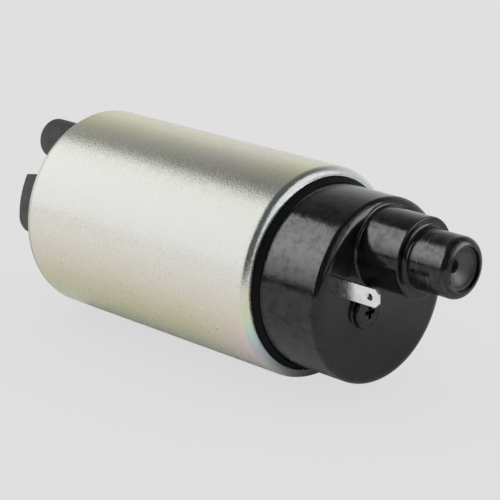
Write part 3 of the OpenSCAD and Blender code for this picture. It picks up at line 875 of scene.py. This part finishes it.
@dataclass(frozen=True)
class Finishes:
    """Every finish of the pump, made once."""

    zinc: Material
    black: Material
    plug: Material
    inlet: Material
    insert: Material
    holder: Material
    insulator: Material
    phenolic: Material
    rubber: Material
    ferrite: Material
    carbon: Material
    tinned: Material
    spring: Material
    copper: Material
    bronze: Material
    bright: Material
    core: Material

    @classmethod
    def make(cls) -> "Finishes":
        """Builds the materials.

        Returns:
            The finishes.
        """
        recipes = dict(
            zinc=ZincPlate(),
            black=GlossPlastic("black_moulding"),
            plug=GlossPlastic("black_plug", rough=0.18, dust=0.0),
            inlet=MattePlastic("grey_cover", (0.088, 0.088, 0.087), 0.60, mottle=0.45, grains=1500.0),
            insert=MattePlastic("grey_insert", (0.075, 0.075, 0.073), 0.40, mottle=0.10),
            holder=MattePlastic("ivory_holder", (0.70, 0.66, 0.55), 0.45, mottle=0.05),
            insulator=MattePlastic("green_insulator", (0.06, 0.20, 0.11), 0.42, mottle=0.12),
            phenolic=MattePlastic("brown_phenolic", (0.14, 0.062, 0.030), 0.40, mottle=0.35, grains=1800.0),
            rubber=MattePlastic("black_rubber", (0.0035, 0.0035, 0.0035), 0.60, shine=0.12),
            ferrite=MattePlastic("grey_ferrite", (0.055, 0.055, 0.058), 0.55, mottle=0.18, grains=3200.0),
            carbon=MattePlastic("black_carbon", (0.022, 0.022, 0.023), 0.42, mottle=0.30, grains=4200.0),
            tinned=Metal("tinned_blade", (0.93, 0.925, 0.91), 0.24, stretch=(1.0, 1.0, 0.3), depth=0.0015),
            spring=Metal("spring_wire", (0.62, 0.61, 0.59), 0.24),
            copper=Metal("copper_wire", (0.85, 0.45, 0.28), 0.30),
            bronze=Metal("sintered_bronze", (0.70, 0.50, 0.28), 0.42, depth=0.010, stain=0.25),
            bright=Metal("ground_steel", (0.78, 0.78, 0.77), 0.14, stretch=(8.0, 1.0, 1.0), depth=0.0008),
            core=Metal("laminated_steel", (0.42, 0.42, 0.43), 0.34, stretch=(6.0, 0.08, 0.08),
                       depth=0.012, stain=0.2),
        )
        return cls(**{name: recipe.build() for name, recipe in recipes.items()})

    def dress_inside(self, nodes: dict[str, Piece]) -> None:
        """Gives the nodes that keep the CAD's shape their finishes.

        Args:
            nodes: The frame's nodes by name.
        """
        inside = {
            self.holder: ("brush_holder", "check_valve_poppet"),
            self.insulator: ("core_insulators",),
            self.phenolic: ("commutator_hub", "impeller"),
            self.inlet: ("pump_casing",),
            self.ferrite: ("choke_core_positive", "choke_core_negative", "magnet_upper", "magnet_lower"),
            self.carbon: ("brush_positive", "brush_negative", "commutator_segments"),
            self.spring: ("magnet_clip_left", "magnet_clip_right"),
            self.copper: ("choke_coil_positive", "choke_coil_negative", "armature_windings"),
            self.bronze: ("upper_bearing", "lower_bearing"),
            self.bright: ("relief_valve_ball", "shaft", "thrust_disc"),
            self.core: ("armature_core",),
        }
        for material, names in inside.items():
            for name in names:
                nodes[name].material_slots[0].material = material
                LOG.info("%-24s in %s", name, material.name)


@dataclass
class Can:
    """The steel can, rolled over the inlet cover and the outlet cover."""

    radius: float = 19.0
    bore: float = 17.4
    end_bore: float = 17.9
    edge: float = 29.4
    end_wall: float = 1.1
    outlet_roll: float = 1.58
    inlet_roll: float = 1.2
    outlet_lip: float = 17.3
    inlet_lip: float = 17.1
    lip_edge: float = 0.10
    step_low: float = -14.9
    step_high: float = 23.1
    sides: int = 256

    def build(self, finishes: Finishes) -> Piece:
        """Makes the can.

        Args:
            finishes: The pump's finishes.

        Returns:
            The piece.
        """
        edge, inner = self.edge, self.edge - self.end_wall
        piece = lathe("can_shell", outline([
            Corner(-edge, self.radius, self.inlet_roll),
            Corner(edge, self.radius, self.outlet_roll),
            Corner(edge, self.outlet_lip, self.lip_edge),
            Corner(inner, self.outlet_lip),
            Corner(inner, self.end_bore),
            Corner(self.step_high, self.end_bore),
            Corner(self.step_high, self.bore),
            Corner(self.step_low, self.bore),
            Corner(self.step_low, self.end_bore),
            Corner(-inner, self.end_bore),
            Corner(-inner, self.inlet_lip),
            Corner(-edge, self.inlet_lip, self.lip_edge),
        ], closed=True), steps=self.sides)
        smooth(piece)
        return dress(piece, Body.PUMP, finishes.zinc, ["can"])


@dataclass
class OutletCover:
    """The black moulding: flange, cap, outlet boss, nozzle and relief valve boss.

    A root is how deep a boss starts inside the cap, a skirt is how far its foot spreads, and
    flush is how far below the cap's face the skirt ends.
    """

    flange_low: float = 25.5
    flange_top: float = 28.28
    flange_r: float = 17.88
    flange_fillet: float = 0.3
    cap_r: float = 16.4
    cap_top: float = 43.5
    crown: float = 2.1
    crown_h: float = 1.4
    crown_steps: int = 20
    hollow_r: float = 14.6
    hollow_top: float = 41.5
    flush: float = 0.01
    outlet_z: float = 8.2
    boss_r: float = 7.0
    boss_top: float = 52.6
    boss_root: float = 1.5
    boss_skirt: float = 0.55
    boss_foot: float = 0.5
    boss_edge: float = 0.25
    nozzle_r: float = 5.3
    nozzle_top: float = 61.2
    nozzle_foot: float = 0.7
    nozzle_lip: float = 1.55
    nozzle_bore: float = 3.45
    mouth_bore: float = 3.75
    mouth_edge: float = 0.1
    mouth_flare: float = 0.14
    mouth_fillet: float = 0.08
    insert_x: float = 56.28
    seat_x: float = 47.1
    seat_r: float = 2.2
    seat_chamfer: float = 0.6
    relief_y: float = -4.6
    relief_z: float = -2.1
    relief_r: float = 3.1
    relief_low: float = 36.9
    relief_top: float = 44.8
    relief_root: float = 1.0
    relief_skirt: float = 0.35
    relief_foot: float = 0.3
    relief_edge: float = 0.35
    relief_bore: float = 2.3
    relief_floor: float = 38.1
    ball_seat: float = 1.3
    blade_y: float = 11.2
    blade_low: float = 2.15
    blade_high: float = 5.25
    blade_t: float = 0.5
    slot_gap: float = 0.04

    def build(self, finishes: Finishes) -> Piece:
        """Makes the cover in one solid.

        Args:
            finishes: The pump's finishes.

        Returns:
            The piece.
        """
        piece = self._cap()
        combine(piece, self._boss(), Solid.JOIN)
        combine(piece, self._relief_tube(), Solid.JOIN)
        combine(piece, self._outlet_bore(), Solid.CUT)
        combine(piece, self._relief_bore(), Solid.CUT)
        for side in (-1, 1):
            combine(piece, self._blade_slot(side), Solid.CUT)
        smooth(piece)
        return dress(piece, Body.PUMP, finishes.black, ["outlet_cover"])

    def _cap(self) -> Piece:
        """Revolves the flange and the cap.

        Returns:
            The mesh.
        """
        return lathe("outlet_moulding", outline([
            Corner(self.hollow_top, 0),
            Corner(self.hollow_top, self.hollow_r),
            Corner(self.flange_low, self.hollow_r),
            Corner(self.flange_low, self.flange_r),
            Corner(self.flange_top, self.flange_r),
            Corner(self.flange_top, self.cap_r, self.flange_fillet),
            *self._crown(),
            Corner(self.cap_top, 0),
        ], arc_steps=12))

    def _crown(self) -> list[Corner]:
        """Rounds the cap's edge as a quarter of a flat ellipse.

        Returns:
            The corners, from the side to the top.
        """
        low, inner = self.cap_top - self.crown_h, self.cap_r - self.crown
        turns = [math.pi / 2 * k / self.crown_steps for k in range(self.crown_steps + 1)]
        arc = [Corner(low + self.crown_h * math.sin(a), inner + self.crown * math.cos(a)) for a in turns]
        return [Corner(low - HOLD, self.cap_r), *arc, Corner(self.cap_top, inner - HOLD)]

    def _boss(self) -> Piece:
        """Revolves the boss and the nozzle round the outlet's own axis.

        Returns:
            The mesh.
        """
        root, foot = self.cap_top - self.boss_root, self.cap_top - self.flush
        return lathe("boss", outline([
            Corner(root, 0),
            Corner(root, self.boss_r + self.boss_skirt),
            Corner(foot, self.boss_r + self.boss_skirt),
            Corner(foot, self.boss_r, self.boss_foot),
            Corner(self.boss_top, self.boss_r, self.boss_edge),
            Corner(self.boss_top, self.nozzle_r, self.nozzle_foot),
            Corner(self.nozzle_top, self.nozzle_r, self.nozzle_lip),
            Corner(self.nozzle_top, 0),
        ], arc_steps=12), centre=(0, self.outlet_z), steps=160)

    def _outlet_bore(self) -> Piece:
        """Revolves the outlet's bore, with the check valve's seat.

        Returns:
            The cutting tool.
        """
        start, mouth, end = self.hollow_top - OVERCUT, self.nozzle_top, self.nozzle_top + OVERCUT
        return lathe("bore", outline([
            Corner(start, 0),
            Corner(start, self.seat_r),
            Corner(self.seat_x - self.seat_chamfer, self.seat_r),
            Corner(self.seat_x, self.seat_r + self.seat_chamfer),
            Corner(self.seat_x, self.nozzle_bore),
            Corner(self.insert_x, self.nozzle_bore),
            Corner(self.insert_x, self.mouth_bore),
            Corner(mouth - self.mouth_edge, self.mouth_bore, self.mouth_fillet),
            Corner(mouth + self.mouth_edge, self.mouth_bore + self.mouth_flare),
            Corner(end, self.mouth_bore + self.mouth_flare),
            Corner(end, 0),
        ], arc_steps=4), centre=(0, self.outlet_z), steps=96)

    def _relief_tube(self) -> Piece:
        """Revolves the relief valve's tube and low boss.

        Returns:
            The mesh.
        """
        root, foot = self.cap_top - self.relief_root, self.cap_top - self.flush
        return lathe("relief_tube", outline([
            Corner(self.relief_low, 0),
            Corner(self.relief_low, self.relief_r),
            Corner(root, self.relief_r),
            Corner(root, self.relief_r + self.relief_skirt),
            Corner(foot, self.relief_r + self.relief_skirt),
            Corner(foot, self.relief_r, self.relief_foot),
            Corner(self.relief_top, self.relief_r, self.relief_edge),
            Corner(self.relief_top, 0),
        ], arc_steps=6), centre=(self.relief_y, self.relief_z), steps=96)

    def _relief_bore(self) -> Piece:
        """Revolves the relief valve's bore.

        Returns:
            The cutting tool.
        """
        start, end = self.relief_low - OVERCUT, self.relief_top + OVERCUT
        return lathe("relief_bore", outline([
            Corner(start, 0),
            Corner(start, self.ball_seat),
            Corner(self.relief_floor, self.ball_seat),
            Corner(self.relief_floor, self.relief_bore),
            Corner(end, self.relief_bore),
            Corner(end, 0),
        ]), centre=(self.relief_y, self.relief_z), steps=72)

    def _blade_slot(self, side: int) -> Piece:
        """Makes the tool that cuts a blade's slot through the cap.

        Args:
            side: -1 for the positive blade and 1 for the negative one.

        Returns:
            The cutting tool.
        """
        y = side * self.blade_y
        half = self.blade_t / 2 + self.slot_gap
        low = (self.hollow_top - OVERCUT, y - half, self.blade_low - self.slot_gap)
        high = (self.cap_top + OVERCUT, y + half, self.blade_high + self.slot_gap)
        return block("slot", low, high)


@dataclass
class OutletDetails:
    """The seal, the nozzle's insert and the relief valve's plug."""

    seal_low: float = 28.3
    seal_top: float = 30.5
    seal_slope: float = 1.1
    seal_in: float = 16.42
    seal_out: float = 17.28
    seal_shoulder: float = 0.12
    seal_tip: float = 0.06
    outlet_z: float = 8.2
    insert_low: float = 56.3
    insert_top: float = 60.5
    insert_r: float = 3.73
    insert_end: float = 0.2
    insert_edge: float = 0.08
    funnel_r: float = 3.4
    funnel_h: float = 1.8
    funnel_steps: int = 8
    funnel_flare: float = 1.1
    hole_r: float = 1.2
    plug_low: float = 43.7
    plug_top: float = 44.78
    plug_r: float = 2.295
    plug_edge: float = 0.04
    plug_y: float = -4.6
    plug_z: float = -2.1
    cross_len: float = 2.4
    cross_w: float = 0.7

    def build(self, finishes: Finishes) -> list[Piece]:
        """Makes the three pieces.

        Args:
            finishes: The pump's finishes.

        Returns:
            The pieces.
        """
        return [self._seal(finishes), self._insert(finishes), self._plug(finishes)]

    def _seal(self, finishes: Finishes) -> Piece:
        """Makes the rubber ring in the groove round the cap.

        Args:
            finishes: The pump's finishes.

        Returns:
            The piece.
        """
        piece = lathe("groove_seal", outline([
            Corner(self.seal_low, self.seal_in),
            Corner(self.seal_low, self.seal_out),
            Corner(self.seal_top - self.seal_slope, self.seal_out, self.seal_shoulder),
            Corner(self.seal_top, self.seal_in, self.seal_tip),
        ], closed=True, arc_steps=5))
        smooth(piece)
        return dress(piece, Body.PUMP, finishes.rubber, ["cover_seal"])

    def _insert(self, finishes: Finishes) -> Piece:
        """Makes the insert with its flared funnel.

        Args:
            finishes: The pump's finishes.

        Returns:
            The piece.
        """
        top, throat, steps = self.insert_top, self.insert_top - self.funnel_h, self.funnel_steps
        spread = self.funnel_r - self.hole_r
        flare = [Corner(top - self.funnel_h * (1 - k / steps),
                        self.hole_r + spread * math.sin(math.pi / 2 * k / steps) ** self.funnel_flare)
                 for k in range(1, steps)]
        piece = lathe("outlet_insert", outline([
            Corner(self.insert_low, self.hole_r),
            Corner(self.insert_low, self.insert_r, self.insert_end),
            Corner(top, self.insert_r, self.insert_edge),
            Corner(top, self.funnel_r, self.insert_edge),
            *reversed(flare),
            Corner(throat, self.hole_r),
        ], closed=True, arc_steps=5), centre=(0, self.outlet_z), steps=96)
        smooth(piece, angle=40)
        return dress(piece, Body.PUMP, finishes.insert, ["nozzle_insert"])

    def _plug(self, finishes: Finishes) -> Piece:
        """Makes the plug with its cross-shaped vent.

        Args:
            finishes: The pump's finishes.

        Returns:
            The piece.
        """
        piece = lathe("relief_plug", outline([
            Corner(self.plug_low, 0),
            Corner(self.plug_low, self.plug_r),
            Corner(self.plug_top, self.plug_r, self.plug_edge),
            Corner(self.plug_top, 0),
        ], arc_steps=4), centre=(self.plug_y, self.plug_z), steps=72)
        for y, z in ((self.cross_len / 2, self.cross_w / 2), (self.cross_w / 2, self.cross_len / 2)):
            arm = block("arm", (self.plug_low - OVERCUT, self.plug_y - y, self.plug_z - z),
                        (self.plug_top + OVERCUT, self.plug_y + y, self.plug_z + z))
            combine(piece, arm, Solid.CUT)
        smooth(piece)
        return dress(piece, Body.PUMP, finishes.plug, ["relief_valve_plug"])


@dataclass
class Terminal:
    """A tinned blade with a hole near its tip and a foot on its choke."""

    name: str
    side: int
    blade_y: float = 11.2
    low: float = 2.15
    high: float = 5.25
    thick: float = 0.5
    tip: float = 52.6
    chamfer: float = 0.7
    edge: float = 0.05
    foot_x: float = 34.62
    foot_w: float = 1.6
    foot_low: float = -3.4
    foot_overlap: float = 1.0
    hole_x: float = 50.7
    hole_z: float = 3.7
    hole_r: float = 0.6
    hole_edge: float = 0.06

    def build(self, finishes: Finishes) -> Piece:
        """Makes the blade.

        Args:
            finishes: The pump's finishes.

        Returns:
            The piece.
        """
        y = self.side * self.blade_y
        near, far = y - self.thick / 2, y + self.thick / 2
        piece = block(f"blade_{self.name}", (self.foot_x, near, self.low), (self.tip, far, self.high))
        bevel_edges(piece, self.chamfer, segments=1, wanted=self._on_tip)
        foot = block("foot", (self.foot_x, near, self.foot_low),
                     (self.foot_x + self.foot_w, far, self.high - self.foot_overlap))
        combine(piece, foot, Solid.JOIN)
        soften(piece, self.edge, segments=2)
        deselect()
        bpy.ops.mesh.primitive_cylinder_add(vertices=48, radius=self.hole_r * MM,
                                            depth=(self.thick + 2 * OVERCUT) * MM,
                                            location=(self.hole_x * MM, y * MM, self.hole_z * MM),
                                            rotation=(math.pi / 2, 0, 0))
        combine(piece, settle("hole"), Solid.CUT)
        bevel_edges(piece, self.hole_edge, segments=2, wanted=self._on_hole)
        smooth(piece, angle=20)
        return dress(piece, Body.PUMP, finishes.tinned, [f"terminal_{self.name}"])

    def _on_tip(self, a: Vector, b: Vector) -> bool:
        """Says whether an edge runs through the blade at one of its tip's corners."""
        return min(a.x, b.x) > self.tip - NEAR and abs(a.z - b.z) < NEAR

    def _on_hole(self, a: Vector, b: Vector) -> bool:
        """Says whether an edge lies on a rim of the hole."""
        away = [math.hypot(end.x - self.hole_x, end.z - self.hole_z) - self.hole_r for end in (a, b)]
        return max(map(abs, (*away, a.y - b.y))) < NEAR


@dataclass
class Spring:
    """A coil spring along X, with closed end turns.

    An end turn rises end_rise times the wire's thickness.
    """

    name: str
    joint: str
    travel: float
    centre: Point
    free: float
    fixed: float
    mean: float
    thick: float
    turns: float
    gap: float = 0.02
    end_turns: float = 0.7
    end_rise: float = 0.8
    turn_steps: int = 28

    def build(self, finishes: Finishes) -> Piece:
        """Makes the spring.

        Args:
            finishes: The pump's finishes.

        Returns:
            The piece.
        """
        inset = self.gap + self.thick / 2
        low, high = self.free + inset, self.fixed - inset
        steps = int(self.turns * self.turn_steps)
        path = []
        for i in range(steps + 1):
            turn = 2 * math.pi * self.turns * i / steps
            path.append((low + (high - low) * self._rise(i / steps, high - low),
                         self.centre[0] + self.mean / 2 * math.cos(turn),
                         self.centre[1] + self.mean / 2 * math.sin(turn)))
        piece = wire(f"{self.name}_wire", path, self.thick)
        dress(piece, Body.PUMP, finishes.spring, [self.name])
        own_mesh(piece)
        return piece

    def _rise(self, share: float, length: float) -> float:
        """How far along the spring its wire has come.

        Args:
            share: How far along the wire, from 0 to 1.
            length: The length that the wire climbs, in mm.

        Returns:
            The place from 0 to 1.
        """
        flat = self.end_rise * self.thick / length
        closed = self.end_turns / self.turns
        if share < closed:
            return flat * share / closed
        if share > 1 - closed:
            return 1 - flat * (1 - share) / closed
        return flat + (1 - 2 * flat) * (share - closed) / (1 - 2 * closed)


@dataclass
class Springs:
    """The springs of the two valves and the two brushes."""

    outlet_z: float = 8.2
    relief: Point = (-4.6, -2.1)
    brush_y: float = 6.0

    def build(self, finishes: Finishes) -> None:
        """Makes the valves' springs.

        Args:
            finishes: The pump's finishes.
        """
        Spring("check_valve_spring", "check_valve_slide", travel=1.8, centre=(0.0, self.outlet_z),
               free=50.15, fixed=56.3, mean=5.0, thick=0.5, turns=5).build(finishes)
        Spring("relief_valve_spring", "relief_valve_slide", travel=0.8, centre=self.relief,
               free=40.877, fixed=43.7, mean=2.888, thick=0.35, turns=3).build(finishes)

    def build_brush_spring(self, name: str, side: int, finishes: Finishes) -> None:
        """Makes one brush's spring.

        Args:
            name: The brush's name.
            side: -1 for the positive brush and 1 for the negative one.
            finishes: The pump's finishes.
        """
        Spring(f"brush_spring_{name}", f"{name}_brush_slide", travel=2.0, centre=(side * self.brush_y, 0.0),
               free=29.05, fixed=34.35, mean=2.8, thick=0.4, turns=5).build(finishes)


@dataclass
class BrushLead:
    """The flexible lead from a brush's side to its choke."""

    name: str
    side: int
    body: Body
    x: float = 28.65
    bow: float = 0.25
    thick: float = 0.8
    steps: int = 24

    def build(self, finishes: Finishes) -> Piece:
        """Makes the lead.

        Args:
            finishes: The pump's finishes.

        Returns:
            The piece.
        """
        node = f"brush_lead_{self.name}"
        (_, low_y, low_z), (_, high_y, high_z) = (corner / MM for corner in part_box(node))
        y0, y1 = (low_y, high_y) if self.side > 0 else (high_y, low_y)
        z0, z1 = low_z + self.thick / 2, high_z - self.thick / 2
        path = []
        for i in range(self.steps + 1):
            share = i / self.steps
            path.append((self.x, y0 + (y1 - y0) * share,
                         z0 + (z1 - z0) * share + self.bow * math.sin(math.pi * share)))
        piece = wire(f"{node}_braid", path, self.thick)
        piece.data.materials.append(finishes.copper)
        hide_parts(node)
        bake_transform(piece)
        LOG.info("%-24s %6d faces from %s to %s", piece.name, len(piece.data.polygons), self.body.value,
                 Body.PUMP.value)
        return piece


@dataclass
class InletCover:
    """The inlet cover: disc, collar, nipple, bore and locating lug.

    A root is how deep the nipple or the lug starts inside the disc.
    """

    low: float = -28.28
    top: float = -23.2
    radius: float = 17.88
    nipple_z: float = 11.1
    nipple_root: float = 1.0
    collar_r: float = 5.3
    collar_x: float = -29.4
    collar_edge: float = 0.3
    nipple_r: float = 3.95
    nipple_x: float = -43.7
    nipple_edge: float = 1.0
    nipple_foot: float = 0.4
    bore_r: float = 2.6
    bore_flare: float = 0.35
    bore_edge: float = 0.3
    lug_in: float = 13.5
    lug_out: float = 16.9
    lug_x: float = -33.9
    lug_root: float = 0.9
    lug_w: float = 10.7
    lug_reach: Point = (5.0, 25.0)
    lug_corner: float = 2.4
    lug_edge: float = 0.35
    lug_angle: float = 168.5

    def build(self, finishes: Finishes) -> Piece:
        """Makes the cover in one solid.

        Args:
            finishes: The pump's finishes.

        Returns:
            The piece.
        """
        piece = lathe("inlet_moulding", outline([
            Corner(self.low, 0),
            Corner(self.low, self.radius),
            Corner(self.top, self.radius),
            Corner(self.top, 0),
        ]))
        combine(piece, self._nipple(), Solid.JOIN)
        combine(piece, self._lug(), Solid.JOIN)
        combine(piece, self._bore(), Solid.CUT)
        smooth(piece)
        return dress(piece, Body.PUMP, finishes.inlet, ["pump_cover"])

    def _nipple(self) -> Piece:
        """Revolves the collar and the nipple.

        Returns:
            The mesh.
        """
        root = self.low + self.nipple_root
        return lathe("nipple", outline([
            Corner(self.nipple_x, 0),
            Corner(self.nipple_x, self.nipple_r, self.nipple_edge),
            Corner(self.collar_x, self.nipple_r, self.nipple_foot),
            Corner(self.collar_x, self.collar_r, self.collar_edge),
            Corner(root, self.collar_r),
            Corner(root, 0),
        ]), centre=(0, self.nipple_z), steps=120)

    def _bore(self) -> Piece:
        """Revolves the nipple's bore.

        Returns:
            The cutting tool.
        """
        start, end = self.nipple_x - OVERCUT, self.top + OVERCUT
        return lathe("bore", outline([
            Corner(start, 0),
            Corner(start, self.bore_r + self.bore_flare),
            Corner(self.nipple_x, self.bore_r + self.bore_flare),
            Corner(self.nipple_x + self.bore_flare, self.bore_r, self.bore_edge),
            Corner(end, self.bore_r),
            Corner(end, 0),
        ]), centre=(0, self.nipple_z), steps=72)

    def _lug(self) -> Piece:
        """Cuts the lug out of a round band, with two of its corners rounded.

        Returns:
            The mesh.
        """
        start, end = self.lug_x - OVERCUT, self.low + OVERCUT
        band = lathe("lug", outline([
            Corner(start, self.lug_in),
            Corner(end, self.lug_in),
            Corner(end, self.lug_out),
            Corner(start, self.lug_out),
        ], closed=True))
        half = self.lug_w / 2
        prism = block("prism", (self.lug_x, self.lug_reach[0], -half),
                      (self.low + self.lug_root, self.lug_reach[1], half))
        bevel_edges(prism, self.lug_corner, segments=8,
                    wanted=lambda a, b: max(a.x, b.x) < self.lug_x + NEAR and min(a.z, b.z) > 0)
        bpy.ops.object.mode_set(mode="EDIT")
        bpy.ops.mesh.select_all(action="SELECT")
        bpy.ops.transform.rotate(value=-math.radians(self.lug_angle), orient_axis="X",
                                 center_override=(0, 0, 0))
        bpy.ops.object.mode_set(mode="OBJECT")
        combine(band, prism, Solid.COMMON)
        soften(band, self.lug_edge, segments=4)
        return band


@dataclass(frozen=True)
class Softbox:
    """A large upright softbox, seen from the pump between two azimuths, with sizes in metres.

    Its radiance is what a mirror shows of it, and rise is the share of that at heights from
    its lower edge to its upper edge. A twin for a few pieces stands a little behind it.
    """

    name: str
    azimuth: float
    spread: float
    low: float
    height: float
    radiance: float
    rise: tuple[Point, ...] = ()
    distance: float = 1.0
    behind: float = 0.0

    def build(self, pieces: Sequence[Piece] = ()) -> None:
        """Stands the softbox.

        Args:
            pieces: The only pieces that it lights, or none when it lights them all.
        """
        width = 2 * self.distance * math.tan(math.radians(self.spread / 2))
        turn = math.radians(self.azimuth)
        middle = Vector((0, 0, self.low + self.height / 2))
        spot = middle + Vector((math.sin(turn), -math.cos(turn), 0)) * (self.distance + self.behind)
        data = bpy.data.lights.new(self.name, "AREA")
        data.shape = "RECTANGLE"
        data.size = width
        data.size_y = self.height
        data.energy = self.radiance * math.pi * width * self.height
        lamp = bpy.data.objects.new(self.name, data)
        bpy.context.scene.collection.objects.link(lamp)
        lamp.matrix_world = Matrix.LocRotScale(spot, (middle - spot).to_track_quat("-Z", "Y"), None)
        lamp.visible_camera = False
        if self.rise:
            self._grade(data)
        if pieces:
            group = bpy.data.collections.new(f"{self.name}_on")
            for piece in pieces:
                group.objects.link(piece)
            lamp.light_linking.receiver_collection = group
        LOG.info("%-24s radiance %.2f", self.name, self.radiance)

    def _grade(self, data: bpy.types.Light) -> None:
        """Grades the lamp's brightness from its lower edge to its upper edge.

        Args:
            data: The lamp's data.
        """
        g = Graph(data)
        glow = g.add("ShaderNodeEmission")
        g.join(glow.outputs[0], g.add("ShaderNodeOutputLight").inputs[0])
        up = g.axes(g.add("ShaderNodeTexCoord").outputs["UV"])[1]
        stops = [(at, (share, share, share)) for at, share in self.rise]
        g.join(g.ramp(up, stops), glow.inputs["Strength"])


@dataclass
class Studio:
    """Camera, lamps, backdrop and floor."""

    lens: float = 140.0
    sensor: float = 36.0
    spot: Place = (249.243, -235.210, 107.110)
    azimuth: float = 45.3035
    elevation: float = 17.7173
    left: Softbox = Softbox("left_light", azimuth=-46.0, spread=90.0, low=0.046, height=1.5, radiance=0.82)
    right: Softbox = Softbox("right_light", azimuth=112.0, spread=66.0, low=0.03, height=1.5, radiance=0.82)
    low: Softbox = Softbox("low_light", azimuth=-46.0, spread=90.0, low=-0.055, height=0.10, radiance=0.72)
    left_gloss: Softbox = Softbox(
        "left_light_gloss", azimuth=-44.0, spread=86.0, low=0.046, height=1.5, radiance=3.75, behind=0.02,
        rise=((0.0, 0.20), (0.11, 0.42), (0.26, 0.84), (0.38, 1.0), (0.55, 0.95), (1.0, 0.62)))
    right_gloss: Softbox = Softbox(
        "right_light_gloss", azimuth=125.0, spread=38.0, low=0.03, height=0.7, radiance=3.4, behind=0.02)
    left_on_floor: float = 3.1
    right_on_floor: float = 2.0
    floor_behind: float = 0.04
    paper: float = 0.7454
    backdrop: Point = (-0.643, 0.766)
    backdrop_ends: Point = (-0.1, 0.7)
    wall_heights: Point = (0.22, 0.86)
    wall: Point = (0.66, 0.05)
    room: float = 0.10
    floor_z: float = -19.0
    floor_r: float = 350.0
    # Painted shadow and shade: the paper's and the card's values close to the pump, and how far from it the
    # darkening reaches, in mm
    shadow: float = 0.90
    shadow_reach: float = 120.0
    card: Point = (0.52, 0.68)
    card_shade_reach: float = 18.0

    def build(self, can: Piece, dark: Sequence[Piece]) -> None:
        """Makes the camera, the lamps, the world and the floor.

        Args:
            can: The can, whose plating also shows a low softbox that meets the floor.
            dark: The black pieces, whose gloss has brighter softboxes of its own.
        """
        self._camera()
        self.left.build()
        self.right.build()
        self.low.build([can])
        self.left_gloss.build(dark)
        self.right_gloss.build(dark)
        self._world()
        floor = self._floor()
        for softbox, radiance in ((self.left, self.left_on_floor), (self.right, self.right_on_floor)):
            name = f"{softbox.name}_floor"
            replace(softbox, name=name, radiance=radiance, behind=self.floor_behind).build([floor])
        bpy.context.scene.view_settings.view_transform = "Standard"

    def _camera(self) -> None:
        """Puts the camera where the photograph was taken from."""
        data = bpy.data.cameras.new("camera")
        data.lens = self.lens
        data.sensor_width = self.sensor
        camera = bpy.data.objects.new("camera", data)
        bpy.context.scene.collection.objects.link(camera)
        turn = Euler((math.radians(90 - self.elevation), 0, math.radians(self.azimuth)))
        camera.matrix_world = Matrix.LocRotScale(Vector(self.spot) * MM, turn, None)
        bpy.context.scene.camera = camera

    def _world(self) -> None:
        """Gives camera rays plain paper, and reflections a dim studio with a pale backdrop."""
        world = bpy.data.worlds.new("studio")
        bpy.context.scene.world = world
        g = Graph(world)
        paper = g.add("ShaderNodeBackground")
        paper.inputs[0].default_value = (self.paper, self.paper, self.paper, 1)
        room = g.add("ShaderNodeBackground")
        g.join(self._room_light(g), room.inputs[0])
        out = g.add("ShaderNodeOutputWorld")
        g.join(g.by_ray(room.outputs[0], paper.outputs[0]), out.inputs[0])

    def _room_light(self, g: Graph) -> Socket:
        """Brightness of the studio by direction: a pale backdrop behind, dark elsewhere.

        Args:
            g: The world's nodes.

        Returns:
            The brightness.
        """
        x, y, z = g.axes(g.add("ShaderNodeTexCoord").outputs["Generated"])
        back = g.math("ADD", g.math("MULTIPLY", x, self.backdrop[0]),
                      g.math("MULTIPLY", y, self.backdrop[1]))
        wall = g.math("MULTIPLY", g.span(back, self.backdrop_ends, (0.0, 1.0), smoothly=True),
                      g.span(z, self.wall_heights, self.wall, smoothly=True))
        return g.math("ADD", wall, self.room)

    def _floor(self) -> Piece:
        """Lays the pale floor: plain paper to the camera, and a card in reflections, both with painted
        shade close to the pump.

        Returns:
            The floor.
        """
        deselect()
        bpy.ops.mesh.primitive_circle_add(vertices=96, radius=self.floor_r * MM, fill_type="NGON",
                                          location=(0, 0, self.floor_z * MM))
        floor = settle("floor")
        material = bpy.data.materials.new("pale_floor")
        g = Graph(material)
        glow = g.add("ShaderNodeEmission")
        paper = self._shade(g, self.shadow_reach, (self.paper * self.shadow, self.paper))
        g.join(paper, glow.inputs["Strength"])
        card = g.add("ShaderNodeBsdfDiffuse")
        g.join(self._shade(g, self.card_shade_reach, self.card), card.inputs["Color"])
        out = g.add("ShaderNodeOutputMaterial")
        g.join(g.by_ray(card.outputs[0], glow.outputs[0]), out.inputs[0])
        floor.data.materials.append(material)
        return floor

    def _shade(self, g: Graph, reach: float, results: Point) -> Socket:
        """Paints shade on the floor close to the pump.

        Args:
            g: The floor's nodes.
            reach: How far from the pump, in mm.
            results: The value in the corner below the pump, and in the open.

        Returns:
            The value.
        """
        corner = g.add("ShaderNodeAmbientOcclusion", samples=16)
        corner.inputs["Distance"].default_value = reach * MM
        return g.span(corner.outputs["AO"], (0.0, 1.0), results)


def main() -> None:
    """Loads the frame, builds and dresses the pieces, and sets up the studio."""
    logging.basicConfig(level=logging.INFO, format="%(message)s")
    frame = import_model()
    finishes = Finishes.make()
    can = Can().build(finishes)
    dark = [OutletCover().build(finishes), *OutletDetails().build(finishes)]
    Terminal("positive", -1).build(finishes)
    Terminal("negative", 1).build(finishes)
    InletCover().build(finishes)
    springs = Springs()
    springs.build(finishes)
    for side, name, body in ((-1, "positive", Body.BRUSH_POSITIVE), (1, "negative", Body.BRUSH_NEGATIVE)):
        springs.build_brush_spring(name, side, finishes)
        BrushLead(name, side, body).build(finishes)
    finishes.dress_inside(frame["nodes"])
    Studio().build(can, dark)


if __name__ == "__main__":
    main()
